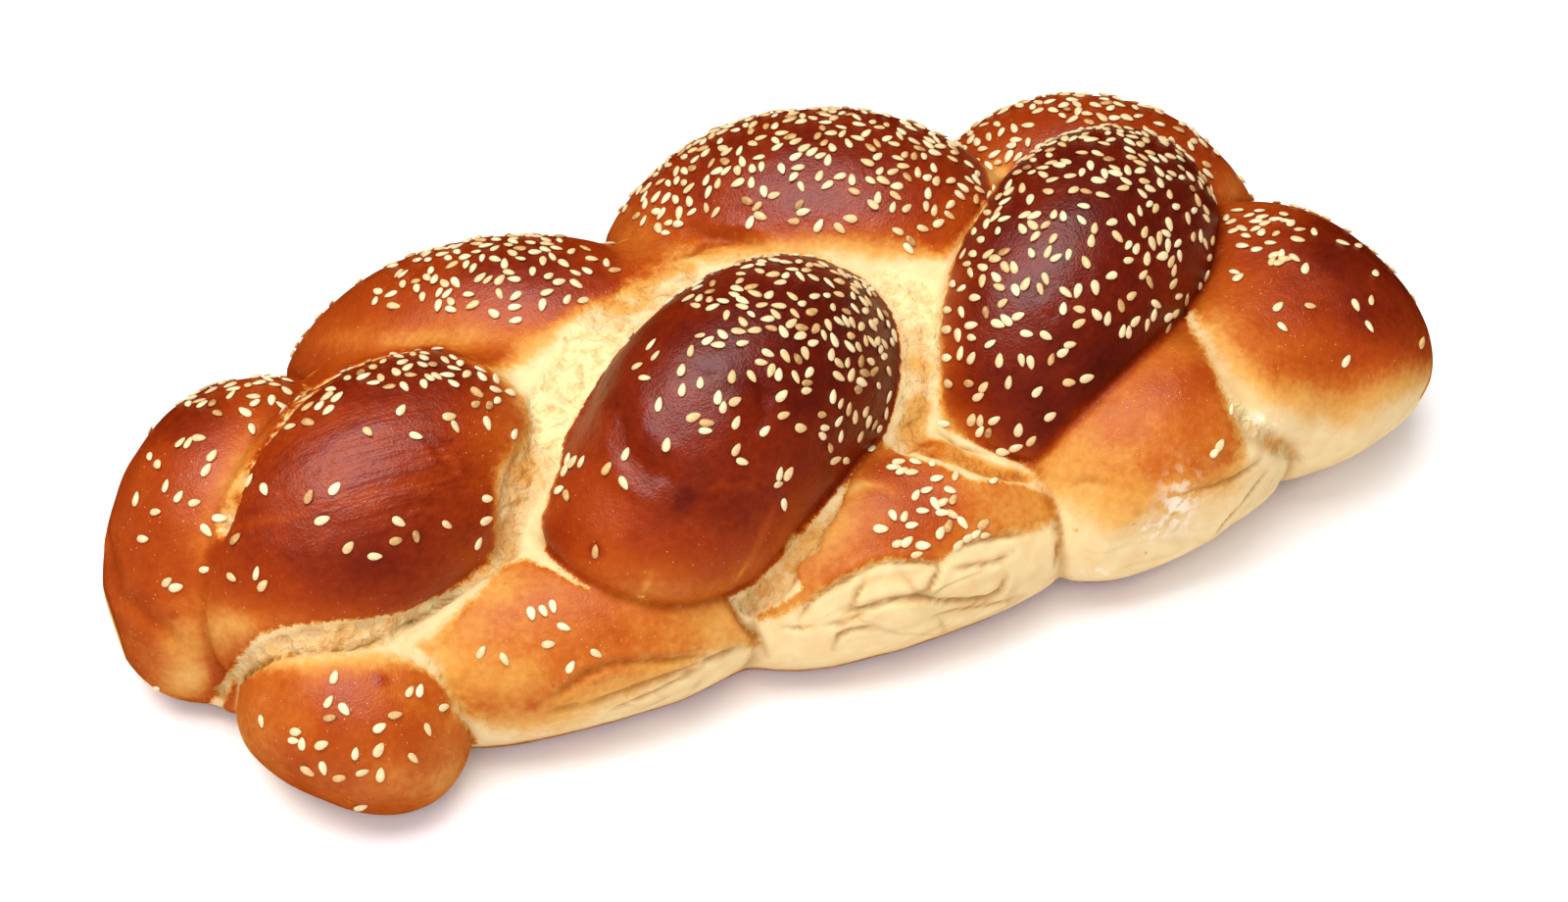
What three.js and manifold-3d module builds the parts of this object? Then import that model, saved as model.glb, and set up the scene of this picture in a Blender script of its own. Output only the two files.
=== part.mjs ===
// A braided challah with sesame seeds, in millimetres.
// X runs along the loaf, Y across it with the near side negative, and Z up from its flat base.
// The loaf is built as a baker plaits it: crests of dough that lean across the ridge from both
// sides, the feet of the strands between them, and the torn crumb that shows in the gaps.
import * as THREE from "three";
import { mergeVertices } from "three/addons/utils/BufferGeometryUtils.js";
import Module from "manifold-3d";

// Faces around and along each kind of lobe
const CREST = { around: 22, along: 13 };
const FOOT = { around: 24, along: 15 };
const MIDDLE = { around: 22, along: 28 };

// What a lobe has unless its row says otherwise
const PLAIN = { heading: 0, tilt: 0, droop: 0, taper: 0, faces: CREST };

// Each lobe's middle, its length, width and height before it droops, its heading about Z, the
// tilt of its +X end, how far its ends droop, and how much wider its +X end is than its middle
const LOBES = [
  // crests on the near side, leaning from lower left to the ridge
  { name: "nearCrest1", at: [-81, -6, 35], size: [90, 53, 50], heading: 20, tilt: 4, droop: 11, taper: -0.05 },
  { name: "nearCrest2", at: [-15, -17, 39], size: [90, 64, 58], heading: 30, tilt: 3, droop: 9, taper: -0.14 },
  { name: "nearCrest3", at: [62.5, -14, 41], size: [96, 51, 56], heading: 40, tilt: 8, droop: 12 },
  // crests on the far side, the first one wrapped round the left end
  { name: "farCrest0", at: [-108, 9, 26], size: [72, 49, 46], heading: 42, tilt: 5, droop: 11 },
  { name: "farCrest1", at: [-44, 26, 27], size: [100, 56, 50], heading: -28, tilt: 3, droop: 10, taper: 0.06 },
  { name: "farCrest2", at: [26, 29, 32], size: [102, 60, 58], heading: -32, tilt: 4, droop: 11, taper: 0.08 },
  { name: "farCrest3", at: [87, 22, 27], size: [80, 46, 48], heading: -38, droop: 12 },
  // feet of the strands on the near side, the first one tucked under the left end
  { name: "nearFoot0", at: [-104, -41, 16], size: [46, 40, 33], heading: -50, droop: 4, faces: FOOT },
  { name: "nearFoot1", at: [-53, -37, 17.5], size: [94, 44, 37], heading: -4, droop: 5, faces: FOOT },
  { name: "nearFoot2", at: [13, -42, 18], size: [86, 46, 38], droop: 6, faces: FOOT },
  { name: "nearFoot3", at: [65, -41, 21.5], size: [76, 46, 45], heading: 15, droop: 6, faces: FOOT },
  { name: "nearFoot4", at: [107, -26, 22.5], size: [66, 58, 47], heading: -20, droop: 6, faces: FOOT },
  // feet of the strands on the far side
  { name: "farFoot1", at: [-79, 31, 14], size: [70, 40, 30], heading: 10, droop: 6, faces: FOOT },
  { name: "farFoot2", at: [-9, 39, 15], size: [90, 44, 32], heading: 5, droop: 6, faces: FOOT },
  { name: "farFoot3", at: [63, 37, 16], size: [80, 44, 34], heading: 5, droop: 6, faces: FOOT },
  // the flat underside, which joins the feet
  { name: "sole", at: [-3, 0, 7], size: [262, 104, 26] },
  // the middle of the loaf, which shows as torn crumb between the crests
  { name: "crumb", at: [-5, 5, 20], size: [236, 88, 62], faces: MIDDLE },
].map((row) => ({ ...PLAIN, ...row }));
// How full a lobe's ends are: 2 is an ellipsoid, more is blunter
const FULLNESS = 2.3;

// Low swells of the crust, and the rougher ones of the crumb: how many waves go round a lobe,
// how many radians of wave go from its middle to its end, and how high they stand
const CRUST_SWELL = { around: 3, along: 4, height: 0.5 };
const CRUMB_SWELL = { around: 14, along: 46, height: 0.9 };

// Folds where the dough was pinched as it rose. Each runs between two places on its lobe, given
// as the share of the half length from the middle and the angle up from the far side, in degrees
const FOLDS = [
  { lobe: "nearFoot1", from: [0, 196], to: [0.85, 150], depth: 1.6, width: 2.2 },
  { lobe: "nearFoot1", from: [-0.35, 214], to: [0.7, 172], depth: 1.4, width: 2.2 },
  { lobe: "nearFoot1", from: [0.1, 222], to: [0.85, 190], depth: 1.2, width: 2.2 },
  { lobe: "nearFoot2", from: [-0.75, 160], to: [0.65, 140], depth: 1.8, width: 2.4 },
  { lobe: "nearFoot2", from: [-0.7, 178], to: [0.8, 160], depth: 1.8, width: 2.2 },
  { lobe: "nearFoot2", from: [-0.4, 194], to: [0.8, 178], depth: 1.6, width: 2.2 },
  { lobe: "nearFoot2", from: [-0.2, 212], to: [0.7, 200], depth: 1.2, width: 2.2 },
  { lobe: "nearFoot3", from: [-0.5, 170], to: [0.1, 140], depth: 1.2, width: 2.2 },
  { lobe: "nearFoot3", from: [-0.5, 205], to: [0.7, 200], depth: 1.2, width: 2.4 },
  { lobe: "nearFoot4", from: [-0.7, 190], to: [0.2, 215], depth: 1.2, width: 2.4 },
  { lobe: "farCrest2", from: [-0.5, 238], to: [0.3, 246], depth: 1.2, width: 2.4 },
];

// A sesame seed lies flat, its middle this far under the crust, and narrows to a point
const SEED = { length: 3.3, width: 2.1, height: 1.5, sunk: 0.2, narrowing: 0.3, sides: 5, rings: 3 };
// The least distance between the middles of two seeds
const SEED_SPACING = 3.4;
// Seeds stay out of the neighbouring lobes grown by this much
const SEED_CLEARANCE = 1.12;
// No seed lies nearer a lobe's tip than this share of its half length
const SEED_REACH = 0.93;
// Each scatter is thickest at its middle, placed as the folds are, and thins out over its spread
const SEED_SCATTERS = [
  { lobe: "nearCrest3", count: 20, at: [0.1, 105], spread: [0.5, 42] },
  { lobe: "nearCrest2", count: 21, at: [0.3, 95], spread: [0.42, 38] },
  { lobe: "nearCrest1", count: 12, at: [0.1, 95], spread: [0.6, 45] },
  { lobe: "farCrest0", count: 7, at: [0.1, 95], spread: [0.6, 60] },
  { lobe: "farCrest1", count: 13, at: [0.1, 90], spread: [0.45, 35] },
  { lobe: "farCrest2", count: 18, at: [0, 90], spread: [0.5, 40] },
  { lobe: "farCrest3", count: 8, at: [-0.1, 90], spread: [0.5, 40] },
  { lobe: "nearFoot0", count: 6, at: [0, 130], spread: [0.5, 50] },
  { lobe: "nearFoot1", count: 2, at: [-0.1, 130], spread: [0.2, 20] },
  { lobe: "nearFoot2", count: 6, at: [0.1, 105], spread: [0.25, 22] },
  { lobe: "nearFoot4", count: 6, at: [0, 110], spread: [0.4, 40] },
];
const SEED_DRAW = 7;
const DRAWS_PER_SEED = 60;

// What is cut off below the base
const BELOW = { length: 400, width: 300, height: 100 };

// Vertices closer than this are one
const SAME_PLACE = 1e-5;

const { degToRad, radToDeg, clamp, euclideanModulo } = THREE.MathUtils;
const lobeNamed = new Map(LOBES.map((lobe) => [lobe.name, lobe]));

// Numbers from 0 to 1, the same ones each time
function draws(seed) {
  const range = 2 ** 32;
  let state = seed;
  return () => {
    state = (state * 1664525 + 1013904223) % range;
    return state / range;
  };
}

// A draw that is most often near 0, and mostly between -1 and 1
function bellDraw(draw) {
  return (draw() + draw() + draw() + draw() - 2) * 1.2;
}

// How deep the folds are at a place on a lobe
function foldDepth(lobe, s, angle) {
  const [length, width] = lobe.size;
  let depth = 0;
  for (const fold of FOLDS.filter((one) => one.lobe === lobe.name)) {
    const reach = fold.to[0] - fold.from[0];
    const share = (s - fold.from[0]) / reach;
    const along = clamp(share, 0, 1);
    const middle = fold.from[1] + (fold.to[1] - fold.from[1]) * along;
    const turn = euclideanModulo(angle - middle + 180, 360) - 180;
    const across = degToRad(turn) * (width / 2);
    const past = (share - along) * reach * (length / 2);
    depth += fold.depth * Math.exp(-(across ** 2 + past ** 2) / fold.width ** 2);
  }
  return depth;
}

// How high the crust or the crumb swells at a place on a lobe
function swellHeight(lobe, s, angle) {
  const swell = lobe.name === "crumb" ? CRUMB_SWELL : CRUST_SWELL;
  const phase = lobe.at[0] + lobe.at[1];
  return swell.height * Math.sin(swell.around * degToRad(angle) + phase) * Math.sin(swell.along * s + phase);
}

// Stands a lobe in the loaf
function standing(lobe) {
  const turn = new THREE.Euler(0, -degToRad(lobe.tilt), degToRad(lobe.heading), "ZYX");
  return new THREE.Matrix4().makeRotationFromEuler(turn).setPosition(...lobe.at);
}

// The place on a lobe at s, from -1 to 1 along it, and an angle round it in degrees
function placeOn(lobe, s, angle) {
  const [length, width, height] = lobe.size;
  const share = Math.sqrt(Math.max(0, 1 - Math.abs(s) ** FULLNESS)) * (1 + lobe.taper * s);
  const relief = swellHeight(lobe, s, angle) - foldDepth(lobe, s, angle);
  const turn = degToRad(angle);
  return new THREE.Vector3(
    (length / 2) * s,
    (width / 2 + relief) * share * Math.cos(turn),
    (height / 2 + relief) * share * Math.sin(turn) - lobe.droop * s * s,
  ).applyMatrix4(standing(lobe));
}

// Under 1 inside a lobe and over 1 outside it
function depthIn(lobe, point) {
  const [length, width, height] = lobe.size;
  const own = point.clone().applyMatrix4(standing(lobe).invert());
  const s = own.x / (length / 2);
  const wide = 1 + lobe.taper * s;
  const y = own.y / ((width / 2) * wide);
  const z = (own.z + lobe.droop * s * s) / ((height / 2) * wide);
  return Math.abs(s) ** FULLNESS + y * y + z * z;
}

// A geometry with only its places, and each of them once
function bare(geometry) {
  geometry.deleteAttribute("normal");
  geometry.deleteAttribute("uv");
  return mergeVertices(geometry, SAME_PLACE);
}

// A lobe is a sphere with its poles at the lobe's ends, reshaped
function lobeGeometry(lobe) {
  const geometry = bare(new THREE.SphereGeometry(1, lobe.faces.around, lobe.faces.along));
  const position = geometry.attributes.position;
  const point = new THREE.Vector3();
  for (let i = 0; i < position.count; i++) {
    point.fromBufferAttribute(position, i);
    const angle = radToDeg(Math.atan2(point.x, point.z));
    position.setXYZ(i, ...placeOn(lobe, point.y, angle));
  }
  return geometry;
}

// A seed with its length along X and its point at +X
function seedGeometry() {
  const geometry = bare(new THREE.SphereGeometry(1, SEED.sides, SEED.rings));
  const position = geometry.attributes.position;
  const point = new THREE.Vector3();
  for (let i = 0; i < position.count; i++) {
    point.fromBufferAttribute(position, i);
    const share = 1 - SEED.narrowing * point.y;
    const y = (SEED.width / 2) * share * point.z;
    const z = (SEED.height / 2) * share * point.x;
    position.setXYZ(i, (SEED.length / 2) * point.y, y, z);
  }
  return geometry;
}

// Lays a seed on a lobe with its length along a heading in radians
function seedPlace(lobe, s, angle, heading) {
  const middle = placeOn(lobe, s, angle);
  const along = placeOn(lobe, s + 0.01, angle).sub(middle).normalize();
  const around = placeOn(lobe, s, angle + 1).sub(middle).normalize();
  const up = new THREE.Vector3().crossVectors(around, along).normalize();
  const length = along.applyAxisAngle(up, heading);
  const width = new THREE.Vector3().crossVectors(up, length);
  middle.addScaledVector(up, -SEED.sunk);
  return new THREE.Matrix4().makeBasis(length, width, up).setPosition(middle);
}

// Where the seeds lie, each as a matrix that takes a seed onto the crust
function seedPlaces() {
  const draw = draws(SEED_DRAW);
  const places = [];
  const middles = [];
  for (const scatter of SEED_SCATTERS) {
    const lobe = lobeNamed.get(scatter.lobe);
    const others = LOBES.filter((other) => other !== lobe);
    let left = scatter.count;
    for (let tries = 0; left > 0 && tries < scatter.count * DRAWS_PER_SEED; tries++) {
      const s = scatter.at[0] + scatter.spread[0] * bellDraw(draw);
      const angle = scatter.at[1] + scatter.spread[1] * bellDraw(draw);
      const heading = draw() * 2 * Math.PI;
      if (Math.abs(s) > SEED_REACH) continue;
      const middle = placeOn(lobe, s, angle);
      if (others.some((other) => depthIn(other, middle) < SEED_CLEARANCE)) continue;
      if (middles.some((other) => other.distanceTo(middle) < SEED_SPACING)) continue;
      places.push(seedPlace(lobe, s, angle, heading));
      middles.push(middle);
      left -= 1;
    }
  }
  return places;
}

const wasm = await Module();
wasm.setup();

function solidFrom(geometry) {
  return new wasm.Manifold(
    new wasm.Mesh({
      numProp: 3,
      vertProperties: new Float32Array(geometry.attributes.position.array),
      triVerts: new Uint32Array(geometry.index.array),
    }),
  );
}

function geometryFrom(solid) {
  const mesh = solid.getMesh();
  const geometry = new THREE.BufferGeometry();
  geometry.setAttribute("position", new THREE.BufferAttribute(mesh.vertProperties, 3));
  geometry.setIndex(new THREE.BufferAttribute(mesh.triVerts, 1));
  geometry.computeVertexNormals();
  return geometry;
}

// The lobes joined, the base cut flat, and the seeds fused on
function loafGeometry() {
  const dough = LOBES.map((lobe) => solidFrom(lobeGeometry(lobe))).reduce((sum, lobe) => sum.add(lobe));
  const below = new THREE.BoxGeometry(BELOW.length, BELOW.width, BELOW.height);
  below.translate(0, 0, -BELOW.height / 2);
  const loaf = dough.subtract(solidFrom(bare(below)));
  const seed = seedGeometry();
  const seeds = seedPlaces().map((place) => solidFrom(seed.clone().applyMatrix4(place)));
  return geometryFrom(seeds.reduce((sum, one) => sum.add(one), loaf));
}

const crust = new THREE.MeshStandardMaterial({ color: "#b8621f", roughness: 0.4, metalness: 0 });
const challah = new THREE.Mesh(loafGeometry(), crust);
challah.name = "challah";

const group = new THREE.Group();
group.add(challah);

export default group;
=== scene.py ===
"""A braided challah with sesame seeds, on a pale floor in soft light.

The loaf is a field of lobes, one for each crest and foot of the braid, which is turned into one mesh
and then gets its folds, torn crumb and unevenness as real shape. Lengths are in millimetres until a
mesh is made, and in metres after that. What only the photograph shows, such as how far a crust is
browned, is placed by pixels of its frame, which are cast onto the loaf from the camera.
"""
import math

import bpy
import numpy as np
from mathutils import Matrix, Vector
from mathutils.bvhtree import BVHTree


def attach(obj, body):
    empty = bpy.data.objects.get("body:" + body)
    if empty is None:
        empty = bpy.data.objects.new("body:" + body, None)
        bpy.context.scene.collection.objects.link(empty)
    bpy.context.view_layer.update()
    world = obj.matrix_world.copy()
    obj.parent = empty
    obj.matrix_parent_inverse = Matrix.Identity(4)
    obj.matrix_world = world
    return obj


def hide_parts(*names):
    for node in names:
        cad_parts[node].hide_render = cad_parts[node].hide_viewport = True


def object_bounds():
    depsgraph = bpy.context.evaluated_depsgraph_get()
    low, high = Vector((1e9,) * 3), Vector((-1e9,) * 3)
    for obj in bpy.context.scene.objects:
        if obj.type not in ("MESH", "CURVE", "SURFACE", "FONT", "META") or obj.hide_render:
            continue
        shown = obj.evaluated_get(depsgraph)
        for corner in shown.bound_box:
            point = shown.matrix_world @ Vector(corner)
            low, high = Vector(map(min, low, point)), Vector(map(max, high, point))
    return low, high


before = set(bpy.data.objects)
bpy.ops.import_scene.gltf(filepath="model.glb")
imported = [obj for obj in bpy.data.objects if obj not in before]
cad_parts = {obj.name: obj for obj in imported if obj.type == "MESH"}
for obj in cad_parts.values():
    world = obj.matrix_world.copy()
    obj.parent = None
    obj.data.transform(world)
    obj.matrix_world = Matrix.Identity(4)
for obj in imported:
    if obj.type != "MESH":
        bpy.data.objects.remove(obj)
CAD_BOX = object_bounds()

MM = 0.001
# Added to what is divided by, so that it is never 0
TINY = 1e-6

# The photograph's frame, which its pixels are given in
PHOTO_WIDTH = 1600
PHOTO_HEIGHT = 920

# How a pixel is looked up on the loaf: how squarely a vertex faces the camera to count as seen, how
# far outside the loaf its sight starts, how far it runs, and how far the camera's sight runs, in mm
FACING = 0.04
SIGHT_START = 0.25
SIGHT_REACH = 400
CAMERA_REACH = 1500
# How many pixels apart a line's points are laid on the loaf
LINE_STEP = 8

# The camera, as seen from the point that it looks at
CAMERA_AZIMUTH = -24
CAMERA_ELEVATION = 45
CAMERA_DISTANCE = 740
CAMERA_TARGET = (7, 5, 0)
LENS = 80
SENSOR = 36

# Each lobe's middle, its length, width and height before it droops, its heading about Z, the
# tilt of its +X end, how far its ends droop, and how much wider its +X end is than its middle
LOBES = {
    "near1": ((-83, -7, 35), (88, 51, 50), 21, 3, 11, -0.03),
    "near2": ((-13.3, -18.4, 38.5), (90, 50, 58), 31, -1, 8, 0.01),
    "near3": ((64, -13, 40.3), (94, 49, 56), 37, 6, 11, 0),
    "far0": ((-108, 9, 26), (72, 49, 46), 42, 5, 11, 0),
    "far1": ((-44, 26, 27), (100, 56, 50), -28, 3, 10, 0.06),
    "far2": ((25, 28, 32), (97, 60, 58), -32, 4, 11, 0.07),
    "far3": ((87, 22, 27), (80, 46, 48), -38, 0, 12, 0),
    "foot0": ((-103, -39, 16), (47, 39, 33), -54, 0, 4, 0),
    "foot1": ((-56, -37, 17.5), (88, 44, 37), -4, 0, 5, 0),
    "foot2": ((11, -42, 18), (90, 46, 38), 0, 0, 6, 0),
    "foot3": ((68.7, -42.4, 22.6), (74, 48, 45), 17, 0, 6, 0),
    "foot4": ((106.1, -25.7, 22.9), (64, 66, 47), 15, 0, 8, 0),
    "back1": ((-79, 31, 14), (70, 40, 30), 10, 0, 6, 0),
    "back2": ((-9, 39, 15), (90, 44, 32), 5, 0, 6, 0),
    "back3": ((63, 37, 16), (80, 44, 34), 5, 0, 6, 0),
    "sole": ((-3, 0, 7), (262, 104, 26), 0, 0, 0, 0),
    "crumb": ((-5, 5, 20), (236, 88, 62), 0, 0, 0, 0),
}
LOBE_NAMES = list(LOBES)
# Fuller parts of lobes, and how softly they join them
BULGES = {
    "near2": ((-33.5, -27.5, 33.5), (55, 44, 28), 28, 0, 0, 0),
    "foot4": ((82.8, -39, 30.3), (50, 43, 29), 13, 0, 0, 0),
}
BULGE_SOFTNESS = 8
# How full a lobe's ends are: 2 is an ellipsoid, more is blunter
FULLNESS = 2.3
# How many of its half lengths from its middle a lobe goes on widening
TAPER_REACH = 1.5
# How softly two lobes run into each other
CREASE = 1.6
# Where the crust runs on from one lobe to the next: place, reach, and how softly
SOFT_SPOTS = (
    ((-106, -18, 38), 13, 8),
    ((-60, 18, 45), 10, 4),
    ((20, 14, 52), 16, 5),
    ((-110, -33, 31), 9, 5),
    ((-98, -37, 31), 10, 6),
    ((-85, -35, 30), 7, 4),
)

# How far inside the solid's box the loaf stays, in mm
INSIDE = 0.1
# How much fuller the loaf is where it rests on the floor, and up to what height
SETTLED = 2.2
SETTLED_BELOW = 12
# How far the crust stands above the dough at its edge
CRUST_LIP = 0.4
# How deep the crease between two lobes is, and half its width
CREASE_DEPTH = 0.8
CREASE_WIDTH = 0.9

# The fine grid that the mesh is read from, and how many of its steps a coarse one takes
STEP = 0.84
COARSE_STEPS = 3
# The box that the grid fills, and how far it runs on past it
GRID_LOW = (-140, -67, -1.5)
GRID_HIGH = (140, 67, 70)
MARGIN = 4.32
# How many points are worked out at a time
POINTS_AT_ONCE = 300000
# How often the vertices are moved onto the surface, and how far at most
SETTLING_ROUNDS = 2
SETTLING_MOVE = 0.4
# Faces are spare where the way out of them, times the way to the camera in mm, is below this
TURNED_AWAY = -20
# Of the faces that the camera doesn't see, the share that is kept
HIDDEN_KEPT = 0.12

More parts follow.
